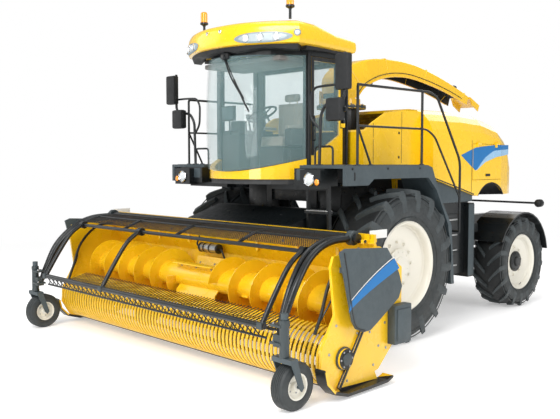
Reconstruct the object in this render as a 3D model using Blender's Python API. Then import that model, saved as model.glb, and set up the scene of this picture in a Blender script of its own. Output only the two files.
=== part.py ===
"""Self-propelled forage harvester with a windrow pickup header.

Metres, +Z up. The front of the machine faces -Y and its left side is +X. Inside this file, sizes are
measured from the front axle: Y = 0 on the axle line and Z = 0 on the ground. The empty "machine"
carries everything and moves that frame so that the whole object is centred on the origin.
"""

import math

import bmesh
import bpy
from mathutils import Matrix, Vector

# ---------------------------------------------------------------- driving dimensions
CENTRE_SHIFT_Y = -0.5225       # front axle line, seen from the middle of the object's length
FIT_GAP = 0.0006               # clearance where two solid pieces sit against each other

WHEELBASE = 3.21
FRONT_TYRE_R = 0.955
FRONT_TYRE_W = 0.64
FRONT_TYRE_X = 1.35            # middle of the tyre
FRONT_RIM_R = 0.54
REAR_TYRE_R = 0.69
REAR_TYRE_W = 0.50
REAR_TYRE_X = 1.23
REAR_RIM_R = 0.405
KINGPIN_X = 0.84
RIM_WALL = 0.03
FRONT_DISC = 0.12              # outer face of the wheel disc, outward from the tyre's middle
REAR_DISC = 0.10
DISC_T = 0.05

RAIL_X = 0.42                  # middle of each chassis rail
RAIL_W = 0.13
RAIL_Z = (1.14, 1.36)
RAIL_Y = (-0.42, WHEELBASE + 0.74)

CAB_HALF_W = 0.84
CAB_REAR_Y = -0.24
CAB_PILLAR_Y = -0.95
CAB_NOSE_Y = -1.52
CAB_FLOOR_Z = (1.97, 2.03)
CAB_TOP_Z = 3.60
CAB_WALL = 0.05
CAB_POST = 0.07
GLASS = 0.012
ROOF_Z = (3.60, 3.86)
ROOF_HALF_W = 1.03

BEACON_X = 0.80
BEACON_Y = -1.22
BEACON_Z = 3.91                # top of the pad under each beacon pole
HINGE_R = 0.013                # door hinge barrels
DOOR_HINGE = (CAB_HALF_W + 0.018, CAB_REAR_Y - CAB_POST - 0.003)
DOOR_HINGE_Z = (2.72, 3.30)

WALK_Z = 2.20                  # top of the walkways over the front wheels
WALK_X = (0.88, 1.60)
WALK_T = 0.035
SKIRT_H = 0.23

BODY_HALF_W = 1.06             # yellow body behind the cab
BODY_Y = (-0.17, 1.06)
BODY_TOP_Z = 2.92
HOOD_HALF_W = 1.25             # wide rear hood over the engine
HOOD_Y = (1.08, WHEELBASE + 0.15)
HOOD_TOP_Z = 2.97
HOOD_WALL = 0.04
HOOD_FOOT_Z = 1.74              # lower edge of the hood's sides
HOOD_DOOR_Y = (2.08, 2.90)
HOOD_DOOR_Z = (1.97, 2.50)
HOOD_ARCH = (WHEELBASE - 0.59, 1.45)    # centre of the arch cut in each side above the rear wheel
HOOD_ARCH_R = 0.47
HOOD_HINGE = (HOOD_HALF_W + 0.020, HOOD_DOOR_Z[1] + 0.003)
TURRET_Y = 0.62
TURRET_R = 0.30

HEADER_HALF_W = 2.42           # inside face of the header's end sheets
SHEET = 0.03
AUGER_Y = -1.86
AUGER_Z = 0.84
AUGER_FLIGHT_R = 0.30
AUGER_TUBE_R = 0.15
REEL_Y = -2.16
REEL_Z = 0.37
BAND_R = 0.30
BEAM_Y = -1.76
BEAM_Z = 1.48
BEAM_R = 0.05
BAR_Y = -2.88
BAR_Z = 0.74
BAR_HALF_W = 2.12
GAUGE_X = 2.38
GAUGE_Y = -2.88
GAUGE_R = 0.225
GAUGE_W = 0.17
GAUGE_TRAIL = 0.10
HEADER_BACK_Y = -1.355         # rear face of the header, where the feed housing carries it
CYLINDER_X = 0.60
CYLINDER_EYE_W = 0.05          # half the room between the lugs that hold a cylinder's eye
CYLINDER_FOOT = (-0.20, 0.66)
CYLINDER_EYE = (-1.08, 0.53)
LIFT_Y = 0.10                  # pivot of the header and its feed housing
LIFT_Z = 1.30

YELLOW = (0.93, 0.56, 0.01)
GREY = (0.09, 0.11, 0.115)
BLACK = (0.02, 0.022, 0.024)
CREAM = (0.80, 0.79, 0.74)
RUBBER = (0.018, 0.019, 0.02)
GLASS_TINT = (0.55, 0.72, 0.72)
AMBER = (0.9, 0.35, 0.02)
STEEL = (0.45, 0.46, 0.47)
TRIM = (0.22, 0.21, 0.19)

SIDES = (("left", 1), ("right", -1))


# ---------------------------------------------------------------- helpers
def material(name, colour, rough=0.5, metal=0.0):
    """Return the named material, made on first use."""
    found = bpy.data.materials.get(name)
    if found:
        return found
    made = bpy.data.materials.new(name)
    made.use_nodes = True
    shader = made.node_tree.nodes["Principled BSDF"]
    shader.inputs["Base Color"].default_value = (*colour, 1.0)
    shader.inputs["Roughness"].default_value = rough
    shader.inputs["Metallic"].default_value = metal
    return made


PAINTS = {
    "yellow": ("yellow_paint", YELLOW, 0.35, 0.0),
    "grey": ("grey_plastic", GREY, 0.55, 0.0),
    "black": ("black_paint", BLACK, 0.5, 0.0),
    "cream": ("cream_rim_paint", CREAM, 0.4, 0.0),
    "rubber": ("tyre_rubber", RUBBER, 0.8, 0.0),
    "glass": ("tinted_glass", GLASS_TINT, 0.05, 0.0),
    "amber": ("amber_lens", AMBER, 0.2, 0.0),
    "steel": ("bright_steel", STEEL, 0.35, 1.0),
    "trim": ("cab_trim", TRIM, 0.8, 0.0),
}


def new_object(name, mesh):
    """Link a mesh as an object of its own."""
    made = bpy.data.objects.new(name, mesh)
    bpy.context.scene.collection.objects.link(made)
    return made


def from_bmesh(shape):
    """Turn a bmesh into a loose scratch object with outward faces."""
    bmesh.ops.recalc_face_normals(shape, faces=shape.faces)
    mesh = bpy.data.meshes.new("piece")
    shape.to_mesh(mesh)
    shape.free()
    return new_object("piece", mesh)


def boolean(base, other, operation):
    """Join or cut base with other, apply the result, and remove other."""
    step = base.modifiers.new("step", "BOOLEAN")
    step.operation = operation
    step.solver = "EXACT"
    step.object = other
    depsgraph = bpy.context.evaluated_depsgraph_get()
    result = bpy.data.meshes.new_from_object(base.evaluated_get(depsgraph))
    base.modifiers.clear()
    base.data = result
    bpy.data.objects.remove(other)
    return base


def fuse(*pieces):
    """Union of loose pieces."""
    base = pieces[0]
    for piece in pieces[1:]:
        boolean(base, piece, "UNION")
    return base


def cut(base, *cutters):
    """Base less every cutter."""
    for cutter in cutters:
        boolean(base, cutter, "DIFFERENCE")
    return base


def box(x, y, z):
    """Box from low and high corners given per axis."""
    shape = bmesh.new()
    bmesh.ops.create_cube(shape, size=1.0)
    low = Vector((min(x), min(y), min(z)))
    high = Vector((max(x), max(y), max(z)))
    size = high - low
    move = Matrix.Translation((low + high) / 2) @ Matrix.Diagonal((*size, 1.0))
    bmesh.ops.transform(shape, matrix=move, verts=shape.verts)
    return from_bmesh(shape)


def prism(outline, axis, low, high):
    """Closed outline extruded along an axis; the outline is (Y, Z), (X, Z) or (X, Y)."""
    order = {"x": (2, 0, 1), "y": (0, 2, 1), "z": (0, 1, 2)}[axis]
    shape = bmesh.new()

    def place(point, depth):
        values = (point[0], point[1], depth)
        return Vector(values[i] for i in order)

    start = [shape.verts.new(place(point, low)) for point in outline]
    face = shape.faces.new(start)
    grown = bmesh.ops.extrude_face_region(shape, geom=[face])
    moved = [item for item in grown["geom"] if isinstance(item, bmesh.types.BMVert)]
    offset = place((0.0, 0.0), high) - place((0.0, 0.0), low)
    bmesh.ops.translate(shape, verts=moved, vec=offset)
    bmesh.ops.triangulate(shape, faces=[f for f in shape.faces if len(f.verts) > 4])
    return from_bmesh(shape)


def turn(profile, axis, centre, steps=24):
    """Ring or disc turned about an axis; the profile is a closed loop of (radius, along)."""
    shape = bmesh.new()
    loop = [shape.verts.new((radius, 0.0, along)) for radius, along in profile]
    edges = [shape.edges.new((loop[i], loop[(i + 1) % len(loop)])) for i in range(len(loop))]
    bmesh.ops.spin(
        shape, geom=loop + edges, cent=(0, 0, 0), axis=(0, 0, 1),
        angle=2 * math.pi, steps=steps, use_merge=True,
    )
    bmesh.ops.remove_doubles(shape, verts=shape.verts, dist=0.0001)
    loose = [edge for edge in shape.edges if not edge.link_faces]
    bmesh.ops.delete(shape, geom=loose, context="EDGES")
    turns = {"x": Matrix.Rotation(math.pi / 2, 4, "Y"), "y": Matrix.Rotation(-math.pi / 2, 4, "X"),
             "z": Matrix.Identity(4)}
    place = Matrix.Translation(centre) @ turns[axis]
    bmesh.ops.transform(shape, matrix=place, verts=shape.verts)
    return from_bmesh(shape)


def rod(axis, centre, radius, low, high, steps=16):
    """Plain round bar along an axis; centre gives the two other coordinates."""
    other = {"x": (1, 2), "y": (0, 2), "z": (0, 1)}[axis]
    along = "xyz".index(axis)
    shape = bmesh.new()
    bmesh.ops.create_cone(
        shape, cap_ends=True, segments=steps, radius1=radius, radius2=radius, depth=high - low
    )
    turns = {"x": Matrix.Rotation(math.pi / 2, 4, "Y"), "y": Matrix.Rotation(math.pi / 2, 4, "X"),
             "z": Matrix.Identity(4)}
    place = [0.0, 0.0, 0.0]
    place[other[0]], place[other[1]] = centre
    place[along] = (low + high) / 2
    bmesh.ops.transform(shape, matrix=Matrix.Translation(place) @ turns[axis], verts=shape.verts)
    return from_bmesh(shape)


def tube(points, radius, sides=6):
    """Solid bar of even radius along a path of points, with mitred corners."""
    path = [Vector(point) for point in points]
    shape = bmesh.new()
    rings = []
    side = None
    for i, point in enumerate(path):
        before = (point - path[i - 1]).normalized() if i else (path[1] - point).normalized()
        after = (path[i + 1] - point).normalized() if i < len(path) - 1 else before
        ahead = (before + after).normalized()
        if side is None:
            guide = Vector((1, 0, 0)) if abs(ahead.x) < 0.8 else Vector((0, 1, 0))
            side = guide.cross(ahead).normalized()
        side = (side - ahead * side.dot(ahead)).normalized()
        up = ahead.cross(side)
        stretch = 1.0 / max(0.5, before.dot(ahead))
        bend = (after - before)
        bend = bend.normalized() if bend.length > 1e-6 else side
        ring = []
        for k in range(sides):
            angle = 2 * math.pi * k / sides
            arm = side * math.cos(angle) + up * math.sin(angle)
            arm += bend * arm.dot(bend) * (stretch - 1.0)
            ring.append(shape.verts.new(point + arm * radius))
        rings.append(ring)
    for one, two in zip(rings, rings[1:]):
        for k in range(sides):
            nxt = (k + 1) % sides
            shape.faces.new((one[k], one[nxt], two[nxt], two[k]))
    shape.faces.new(list(reversed(rings[0])))
    shape.faces.new(rings[-1])
    return from_bmesh(shape)


def bar(start, end, width, height):
    """Square-section bar between two points, its width level and its height upright."""
    a, b = Vector(start), Vector(end)
    ahead = (b - a).normalized()
    level = ahead.cross(Vector((0, 0, 1)))
    level = level.normalized() if level.length > 1e-6 else Vector((1, 0, 0))
    up = level.cross(ahead)
    shape = bmesh.new()
    corners = [(-1, -1), (1, -1), (1, 1), (-1, 1)]
    rings = []
    for point in (a, b):
        rings.append([shape.verts.new(point + level * (u * width / 2) + up * (v * height / 2))
                      for u, v in corners])
    for k in range(4):
        nxt = (k + 1) % 4
        shape.faces.new((rings[0][k], rings[0][nxt], rings[1][nxt], rings[1][k]))
    shape.faces.new(list(reversed(rings[0])))
    shape.faces.new(rings[1])
    return from_bmesh(shape)


def arc(centre, radius, start, end, count):
    """Points on an arc, angles in degrees from the first axis towards the second."""
    points = []
    for i in range(count):
        angle = math.radians(start + (end - start) * i / (count - 1))
        points.append((centre[0] + radius * math.cos(angle), centre[1] + radius * math.sin(angle)))
    return points


def strip(outer, thickness):
    """Closed outline of a bent plate: a line of points and the same line moved to its right."""
    line = [Vector(point) for point in outer]
    inner = []
    for i, point in enumerate(line):
        before = (point - line[i - 1]).normalized() if i else (line[1] - point).normalized()
        after = (line[i + 1] - point).normalized() if i < len(line) - 1 else before
        ahead = (before + after).normalized()
        right = Vector((ahead.y, -ahead.x))
        inner.append(point + right * (thickness / max(0.3, before.dot(ahead))))
    return [tuple(p) for p in line] + [tuple(p) for p in reversed(inner)]


def mirrored(side, points):
    """Points with X turned over for the right side."""
    return [(side * x, y, z) for x, y, z in points]


def span(side, low, high):
    """X range on one side of the machine."""
    return tuple(sorted((side * low, side * high)))


def finish(piece, name, paint, parent=None, pivot=(0.0, 0.0, 0.0)):
    """Name and paint a piece, put its origin on its pivot and hang it on its parent."""
    piece.name = name
    piece.data.name = name
    mat = material(*PAINTS[paint])
    piece.data.materials.clear()
    piece.data.materials.append(mat)
    for face in piece.data.polygons:
        face.material_index = 0
    piece.data.transform(Matrix.Translation(-Vector(pivot)))
    piece.location = Vector(pivot) - (Vector(parent["pivot"]) if parent else Vector())
    if parent:
        piece.parent = parent
    piece.data.shade_smooth()
    piece.data.set_sharp_from_angle(angle=math.radians(35))
    return piece


def empty(name, pivot, parent=None):
    """Joint frame: an empty at a pivot point."""
    made = new_object(name, None)
    made["pivot"] = pivot
    made.location = Vector(pivot) - (Vector(parent["pivot"]) if parent else Vector())
    if parent:
        made.parent = parent
    return made


# ---------------------------------------------------------------- chassis
def chassis(machine):
    rails = [box(span(side, RAIL_X - RAIL_W / 2, RAIL_X + RAIL_W / 2), RAIL_Y, RAIL_Z)
             for _, side in SIDES]
    inset = 0.02
    cross = [box((-RAIL_X, RAIL_X), (y - 0.07, y + 0.07), (RAIL_Z[0] + inset, RAIL_Z[1] - inset))
             for y in (1.20, 2.30, RAIL_Y[1] - 0.09)]
    cab_posts = []
    for _, side in SIDES:
        cab_posts.append(box(span(side, RAIL_X - 0.05, RAIL_X + 0.05), (-0.40, -0.28),
                             (RAIL_Z[1] - 0.02, CAB_FLOOR_Z[0] - FIT_GAP)))
        cab_posts.append(box(span(side, RAIL_X - 0.05, RAIL_X + 0.05), (1.12, 1.24),
                             (RAIL_Z[1] - 0.02, 1.72)))
        cab_posts.append(box(span(side, RAIL_X, HOOD_HALF_W - HOOD_WALL - 0.01), (2.24, 2.34),
                             (RAIL_Z[0] + 0.06, RAIL_Z[1] - 0.03)))
        cab_posts.append(box(span(side, RAIL_X - 0.02, WALK_X[1] - 0.25), (1.115, 1.175),
                             (RAIL_Z[0] + 0.05, RAIL_Z[1] - 0.05)))
    hitch = box((-0.16, 0.16), (RAIL_Y[1] - 0.12, RAIL_Y[1] + 0.10), (0.78, RAIL_Z[1] - 0.04))
    frame = fuse(*rails, *cross, *cab_posts, hitch)
    finish(frame, "chassis_frame", "black", machine)

    axle_beam = rod("x", (0.0, FRONT_TYRE_R), 0.15, -0.80, 0.80, 20)
    drives = [rod("x", (0.0, FRONT_TYRE_R), 0.30, *span(side, 0.78, FRONT_TYRE_X - 0.06), 24)
              for _, side in SIDES]
    flanges = [rod("x", (0.0, FRONT_TYRE_R), 0.17, *span(side, FRONT_TYRE_X - 0.08,
                                                         FRONT_TYRE_X + FRONT_DISC - DISC_T - FIT_GAP),
                   20) for _, side in SIDES]
    clevises = []
    for _, side in SIDES:
        for x in (CYLINDER_X - CYLINDER_EYE_W - 0.02, CYLINDER_X + CYLINDER_EYE_W):
            clevises.append(prism([(-0.25, 0.60), (-0.13, 0.60), (-0.02, 0.83), (-0.02, 0.95),
                                   (-0.12, 0.95), (-0.25, 0.72)], "x", *span(side, x, x + 0.02)))
        clevises.append(rod("x", CYLINDER_FOOT, 0.018,
                            *span(side, CYLINDER_X - 0.06, CYLINDER_X + 0.06), 12))
    saddles = [box(span(side, RAIL_X - 0.10, RAIL_X + 0.10), (-0.13, 0.13),
                   (FRONT_TYRE_R, RAIL_Z[0] - FIT_GAP)) for _, side in SIDES]
    finish(fuse(axle_beam, *drives, *flanges, *saddles, *clevises), "front_axle", "black", machine)

    beam = box((-KINGPIN_X + 0.09, KINGPIN_X - 0.09), (WHEELBASE - 0.10, WHEELBASE + 0.10),
               (REAR_TYRE_R - 0.10, REAR_TYRE_R + 0.10))
    ends = []
    for _, side in SIDES:
        for low, high in ((0.10, 0.16), (-0.16, -0.10)):
            ends.append(box(span(side, KINGPIN_X - 0.20, KINGPIN_X + 0.06),
                            (WHEELBASE - 0.06, WHEELBASE + 0.06),
                            (REAR_TYRE_R + low, REAR_TYRE_R + high)))
        ends.append(box(span(side, KINGPIN_X - 0.20, KINGPIN_X - 0.09),
                        (WHEELBASE - 0.07, WHEELBASE + 0.07),
                        (REAR_TYRE_R - 0.16, REAR_TYRE_R + 0.16)))
    stand = box((-0.34, 0.34), (WHEELBASE - 0.14, WHEELBASE + 0.14),
                (REAR_TYRE_R, RAIL_Z[0] + 0.05))
    tie = box((-RAIL_X + RAIL_W / 2 + FIT_GAP, RAIL_X - RAIL_W / 2 - FIT_GAP),
              (WHEELBASE - 0.14, WHEELBASE + 0.14), (RAIL_Z[0], RAIL_Z[1] - 0.04))
    finish(fuse(beam, *ends, stand, tie), "rear_axle", "black", machine)

    engine = box((-0.55, 0.55), (1.75, 3.05), (RAIL_Z[1] + FIT_GAP, 2.35))
    finish(engine, "engine_block", "black", machine)


def tanks(machine):
    """Side boxes between the wheels, with the shelf that carries them on the frame."""
    for name, side in SIDES:
        shell = box(span(side, 0.62, 1.16), (1.30, 2.12), (0.62, 1.66))
        fin = box(span(side, 0.98, 1.24), (2.02, 2.16), (0.56, 1.64))
        shelf = box(span(side, RAIL_X + RAIL_W / 2 + FIT_GAP, 0.66), (1.55, 1.95),
                    (RAIL_Z[0] + 0.02, RAIL_Z[1] - 0.02))
        finish(fuse(shell, fin, shelf), name + "_tank", "black", machine)


# ---------------------------------------------------------------- wheels
def tyre_outline(radius, width, rim, disc_x, hub_r):
    """Section of a tyre with its rim and dished disc; X is outward from the middle of the tyre."""
    half = width / 2
    bead = rim + 0.015
    barrel = rim - RIM_WALL
    return [
        (radius, -half * 0.72), (radius, half * 0.72), (radius - 0.05, half * 0.93),
        (radius - (radius - rim) * 0.45, half), (bead, half * 0.84),
        (barrel, half * 0.78), (barrel, disc_x + 0.03), (hub_r, disc_x), (0.0, disc_x),
        (0.0, disc_x - DISC_T), (barrel, disc_x - DISC_T), (barrel, -half * 0.80), (bead, -half * 0.84),
        (radius - (radius - rim) * 0.45, -half), (radius - 0.05, -half * 0.93),
    ]


def wheel(name, x, y, radius, width, rim, disc_x, hub_r, parent, steps=28):
    side = 1 if x > 0 else -1
    profile = [(r, along * side) for r, along in tyre_outline(radius, width, rim, disc_x, hub_r)]
    piece = turn(profile, "x", (x, y, radius), steps)
    hub = empty(name + "_hub", (x, y, radius), parent)
    return finish(piece, name, "rubber", hub, (x, y, radius))


def wheels(machine):
    for name, side in SIDES:
        wheel("front_" + name + "_wheel", side * FRONT_TYRE_X, 0.0, FRONT_TYRE_R, FRONT_TYRE_W,
              FRONT_RIM_R, FRONT_DISC, 0.22, machine)
        pivot = (side * KINGPIN_X, WHEELBASE, REAR_TYRE_R)
        knuckle = empty(name + "_kingpin", pivot, machine)
        reach = 0.10 - FIT_GAP
        post = rod("z", (side * KINGPIN_X, WHEELBASE), 0.055, REAR_TYRE_R - reach,
                   REAR_TYRE_R + reach, 16)
        spindle = rod("x", (WHEELBASE, REAR_TYRE_R), 0.085,
                      *span(side, KINGPIN_X, REAR_TYRE_X + REAR_DISC - DISC_T - FIT_GAP), 16)
        arm = box(span(side, KINGPIN_X + 0.095, KINGPIN_X + 0.125), (WHEELBASE - 0.05, WHEELBASE + 0.05),
                  (REAR_TYRE_R, REAR_TYRE_R + REAR_TYRE_R + 0.07))
        guard = strip(arc((WHEELBASE, REAR_TYRE_R), REAR_TYRE_R + 0.085, 152, 12, 13), 0.022)
        guard_plate = prism(guard, "x", *span(side, KINGPIN_X + 0.097, REAR_TYRE_X + REAR_TYRE_W / 2 + 0.02))
        finish(fuse(post, spindle, arm, guard_plate), name + "_knuckle", "black", knuckle, pivot)
        wheel("rear_" + name + "_wheel", side * REAR_TYRE_X, WHEELBASE, REAR_TYRE_R, REAR_TYRE_W,
              REAR_RIM_R, REAR_DISC, 0.14, knuckle)


# ---------------------------------------------------------------- cab
def nose_line(offset=0.0, count=13, half=None):
    """Plan of the bulged cab front from the left pillar to the right one."""
    half = half or CAB_HALF_W - 0.04
    depth = CAB_PILLAR_Y - CAB_NOSE_Y
    points = []
    for i in range(count):
        u = -1 + 2 * i / (count - 1)
        x = -half * u
        y = CAB_PILLAR_Y - (depth + offset) * (1 - abs(u) ** 2.4)
        points.append((x, y))
    return points


def cab_plan(grow=0.0):
    """Whole plan of the cab, nose and square rear."""
    half = CAB_HALF_W + grow
    front = [(x * half / (CAB_HALF_W - 0.04), y - grow) for x, y in nose_line()]
    return [(half, CAB_REAR_Y + grow)] + front + [(-half, CAB_REAR_Y + grow)]


def loft(rings):
    """Closed solid through equal-length rings of points, capped at both ends."""
    shape = bmesh.new()
    made = [[shape.verts.new(point) for point in ring] for ring in rings]
    for one, two in zip(made, made[1:]):
        for k in range(len(one)):
            nxt = (k + 1) % len(one)
            shape.faces.new((one[k], one[nxt], two[nxt], two[k]))
    shape.faces.new(list(reversed(made[0])))
    shape.faces.new(made[-1])
    return from_bmesh(shape)


def bulge(z):
    """How far the windscreen swells forward of the cab plan at a height."""
    u = (z - CAB_FLOOR_Z[1]) / (CAB_TOP_Z - CAB_FLOOR_Z[1])
    return 0.10 * math.sin(math.pi * min(1.0, max(0.0, 0.15 + 0.75 * u)))


def band_top(x):
    """Top edge of the yellow band under the windscreen, rising from its middle to the pillars."""
    return 2.12 + 0.16 * (abs(x) / CAB_HALF_W) ** 2.2


def sill_top(y, lift=0.0):
    """Height of a side window's sill, sweeping up towards the rear."""
    along = (y - CAB_PILLAR_Y) / (CAB_REAR_Y - CAB_PILLAR_Y)
    return 2.28 + 0.34 * max(0.0, along) ** 1.3 + lift


def sill_points(y_front, y_rear, lift=0.0, count=6):
    """Points along a side window's sill from front to rear."""
    step = (y_rear - y_front) / (count - 1)
    return [(y_front + step * i, sill_top(y_front + step * i, lift)) for i in range(count)]


def cab(machine):
    plan = cab_plan()
    floor_low = CAB_FLOOR_Z[0]
    floor = prism(plan, "z", *CAB_FLOOR_Z)
    console = box((-0.75, -0.42), (-0.95, -0.40), (CAB_FLOOR_Z[1] - 0.01, 2.62))
    pedestal = box((-0.24, 0.24), (-0.78, -0.38), (CAB_FLOOR_Z[1] - 0.01, 2.42))
    finish(fuse(floor, console, pedestal), "cab_floor", "trim", machine)

    # Frame: two front pillars, two rear posts, a closed rear wall with its window, and a top ring.
    top_ring = prism(cab_plan(), "z", CAB_TOP_Z - 0.09, CAB_TOP_Z - FIT_GAP)
    ring_hole = prism(cab_plan(-0.09), "z", CAB_TOP_Z - 0.2, CAB_TOP_Z + 0.1)
    ring = cut(top_ring, ring_hole)
    low = CAB_FLOOR_Z[1] + FIT_GAP
    pieces = [ring]
    for _, side in SIDES:
        pieces.append(box(span(side, CAB_HALF_W - CAB_POST, CAB_HALF_W),
                          (CAB_PILLAR_Y - 0.02, CAB_PILLAR_Y + 0.05), (low, CAB_TOP_Z - 0.05)))
        pieces.append(box(span(side, CAB_HALF_W - CAB_POST, CAB_HALF_W),
                          (CAB_REAR_Y - CAB_POST, CAB_REAR_Y), (low, CAB_TOP_Z - 0.05)))
    rear = box((-CAB_HALF_W + 0.02, CAB_HALF_W - 0.02), (CAB_REAR_Y - CAB_WALL, CAB_REAR_Y - 0.004),
               (low, CAB_TOP_Z - 0.05))
    rear = cut(rear, box((-0.66, 0.66), (CAB_REAR_Y - 0.2, CAB_REAR_Y + 0.2), (2.62, 3.44)))
    pieces.append(rear)
    right_sill = prism([(CAB_REAR_Y - 0.02, low), (CAB_PILLAR_Y, low)]
                       + sill_points(CAB_PILLAR_Y, CAB_REAR_Y - 0.02), "x",
                       -CAB_HALF_W + 0.004, -CAB_HALF_W + CAB_WALL)
    left_sill = box((CAB_HALF_W - CAB_WALL, CAB_HALF_W - 0.004), (CAB_PILLAR_Y, CAB_REAR_Y - 0.02),
                    (low, WALK_Z + FIT_GAP))
    pieces += [right_sill, left_sill]
    for z in DOOR_HINGE_Z:
        pieces.append(rod("z", DOOR_HINGE, HINGE_R, z + FIT_GAP, z + 0.05, 12))
        pieces.append(box((CAB_HALF_W - 0.02, DOOR_HINGE[0]),
                          (DOOR_HINGE[1], DOOR_HINGE[1] + 0.03), (z + FIT_GAP, z + 0.05)))
    finish(fuse(*pieces), "cab_frame", "black", machine)

    outer = [(x, y) for x, y in nose_line(0.02, 15, CAB_HALF_W)]
    base = []
    for x, y in outer:
        base.append(((x, y - 0.012), (x * 0.955, y + 0.05)))
    ring_low = CAB_FLOOR_Z[1] + FIT_GAP
    shape = bmesh.new()
    columns = []
    for (front, back) in base:
        top = band_top(front[0])
        columns.append([shape.verts.new((*front, ring_low)), shape.verts.new((*front, top)),
                        shape.verts.new((*back, top)), shape.verts.new((*back, ring_low))])
    for one, two in zip(columns, columns[1:]):
        for k in range(4):
            nxt = (k + 1) % 4
            shape.faces.new((one[k], one[nxt], two[nxt], two[k]))
    shape.faces.new(list(reversed(columns[0])))
    shape.faces.new(columns[-1])
    band = from_bmesh(shape)
    gap = FIT_GAP
    keep_off = [box(span(side, CAB_HALF_W - CAB_POST - gap, CAB_HALF_W + 0.02),
                    (CAB_PILLAR_Y - 0.02 - gap, CAB_PILLAR_Y + 0.1), (2.0, 2.6))
                for _, side in SIDES]
    finish(cut(band, *keep_off), "cab_nose_band", "yellow", machine)

    windscreen(machine)
    y_front, y_rear = CAB_PILLAR_Y + 0.05 + gap, CAB_REAR_Y - CAB_POST - gap
    top = CAB_TOP_Z - 0.09 - gap
    outline = sill_points(y_front, y_rear, 0.005) + [(y_rear, top), (y_front, top)]
    finish(prism(outline, "x", *span(-1, CAB_HALF_W - 0.035, CAB_HALF_W - 0.035 + GLASS)),
           "right_window", "glass", machine)
    rear_glass = box((-0.66 + gap, 0.66 - gap), (CAB_REAR_Y - 0.030, CAB_REAR_Y - 0.030 + GLASS),
                     (2.62 + gap, 3.44 - gap))
    finish(rear_glass, "rear_window", "glass", machine)

    roof(machine)
    cab_inside(machine)
    cab_door(machine)


def windscreen(machine):
    """One bulged pane between the pillars, from the nose band to the roof ring."""
    count = 15
    heights = [0.0, 0.2, 0.4, 0.6, 0.8, 1.0]
    half = CAB_HALF_W - 0.012
    plan = nose_line(0.0, count, half)
    grid_front, grid_back = [], []
    shape = bmesh.new()
    top = CAB_TOP_Z - 0.09 - FIT_GAP
    for u in heights:
        front, back = [], []
        for x, y in plan:
            low = band_top(x) + 0.004
            z = low + (top - low) * u
            swell = bulge(z) * (1 - (abs(x) / half) ** 2)
            y_front = min(y - 0.022 - swell, CAB_PILLAR_Y - 0.02 - GLASS - FIT_GAP)
            front.append(shape.verts.new((x, y_front, z)))
            back.append(shape.verts.new((x * (1 - GLASS / half), y_front + GLASS, z)))
        grid_front.append(front)
        grid_back.append(back)
    for grid in (grid_front, grid_back):
        for one, two in zip(grid, grid[1:]):
            for k in range(count - 1):
                shape.faces.new((one[k], one[k + 1], two[k + 1], two[k]))
    for row in (0, -1):
        for k in range(count - 1):
            shape.faces.new((grid_front[row][k], grid_front[row][k + 1],
                             grid_back[row][k + 1], grid_back[row][k]))
    for col in (0, -1):
        for one in range(len(heights) - 1):
            shape.faces.new((grid_front[one][col], grid_front[one + 1][col],
                             grid_back[one + 1][col], grid_back[one][col]))
    bmesh.ops.recalc_face_normals(shape, faces=shape.faces)
    finish(from_bmesh(shape), "windscreen", "glass", machine)


def roof(machine):
    """Moulded roof: broad brow over the windscreen, narrowing to the rear."""
    brow = []
    for i in range(11):
        u = -1 + 2 * i / 10
        brow.append((-ROOF_HALF_W * u, -1.30 - 0.42 * (1 - abs(u) ** 2.2)))
    plan = [(0.90, -0.14), (0.96, -0.60), (ROOF_HALF_W, -1.05)] + brow
    plan += [(-ROOF_HALF_W, -1.05), (-0.96, -0.60), (-0.90, -0.14)]
    middle = (0.0, -0.8)

    def ring(scale, z_front, z_rear):
        points = []
        for x, y in plan:
            t = min(1.0, max(0.0, (-0.35 - y) / 0.9))
            z = z_rear + (z_front - z_rear) * t
            points.append((middle[0] + (x - middle[0]) * scale, middle[1] + (y - middle[1]) * scale, z))
        return points

    base = CAB_TOP_Z
    shell = loft([ring(0.965, base, base), ring(1.0, base + 0.05, base + 0.05),
                  ring(1.0, 3.80, 3.72), ring(0.95, 3.865, 3.775), ring(0.72, 3.905, 3.80)])
    pads = [rod("z", (side * BEACON_X, BEACON_Y), 0.035, 3.80, BEACON_Z, 16) for _, side in SIDES]
    finish(fuse(shell, *pads), "cab_roof", "yellow", machine)
    for name, side in SIDES:
        at = (side * BEACON_X, BEACON_Y)
        pole = rod("z", at, 0.016, BEACON_Z + FIT_GAP, 4.06, 10)
        seat = rod("z", at, 0.055, 4.04, 4.075, 16)
        lens = rod("z", at, 0.048, 4.07, 4.21, 16)
        finish(fuse(pole, seat, lens), name + "_beacon", "amber", machine)


def cab_inside(machine):
    """Steering column with its wheel, and the driver's seat."""
    gap = FIT_GAP
    base = box((-0.09, 0.09), (-1.12, -0.98), (CAB_FLOOR_Z[1] + gap, 2.30))
    column = tube([(0, -1.05, 2.25), (0, -1.00, 2.60), (0, -0.93, 2.84)], 0.045, 10)
    wheel_ring = turn([(0.19 + 0.016 * math.cos(math.radians(a)), 0.016 * math.sin(math.radians(a)))
                       for a in range(0, 360, 60)], "z", (0, 0, 0), 20)
    spoke = box((-0.185, 0.185), (-0.02, 0.02), (-0.012, 0.012))
    wheel_piece = fuse(wheel_ring, spoke)
    tilt = Matrix.Translation((0, -0.92, 2.85)) @ Matrix.Rotation(math.radians(32), 4, "X")
    wheel_piece.data.transform(tilt)
    finish(fuse(base, column, wheel_piece), "steering_column", "trim", machine)

    cushion = box((-0.26, 0.26), (-0.82, -0.36), (2.42 + gap, 2.55))
    back = prism([(-0.46, 2.50), (-0.34, 2.50), (-0.315, 2.62), (-0.315, 3.14), (-0.41, 3.14)],
                 "x", -0.25, 0.25)
    finish(fuse(cushion, back), "driver_seat", "trim", machine)


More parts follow.
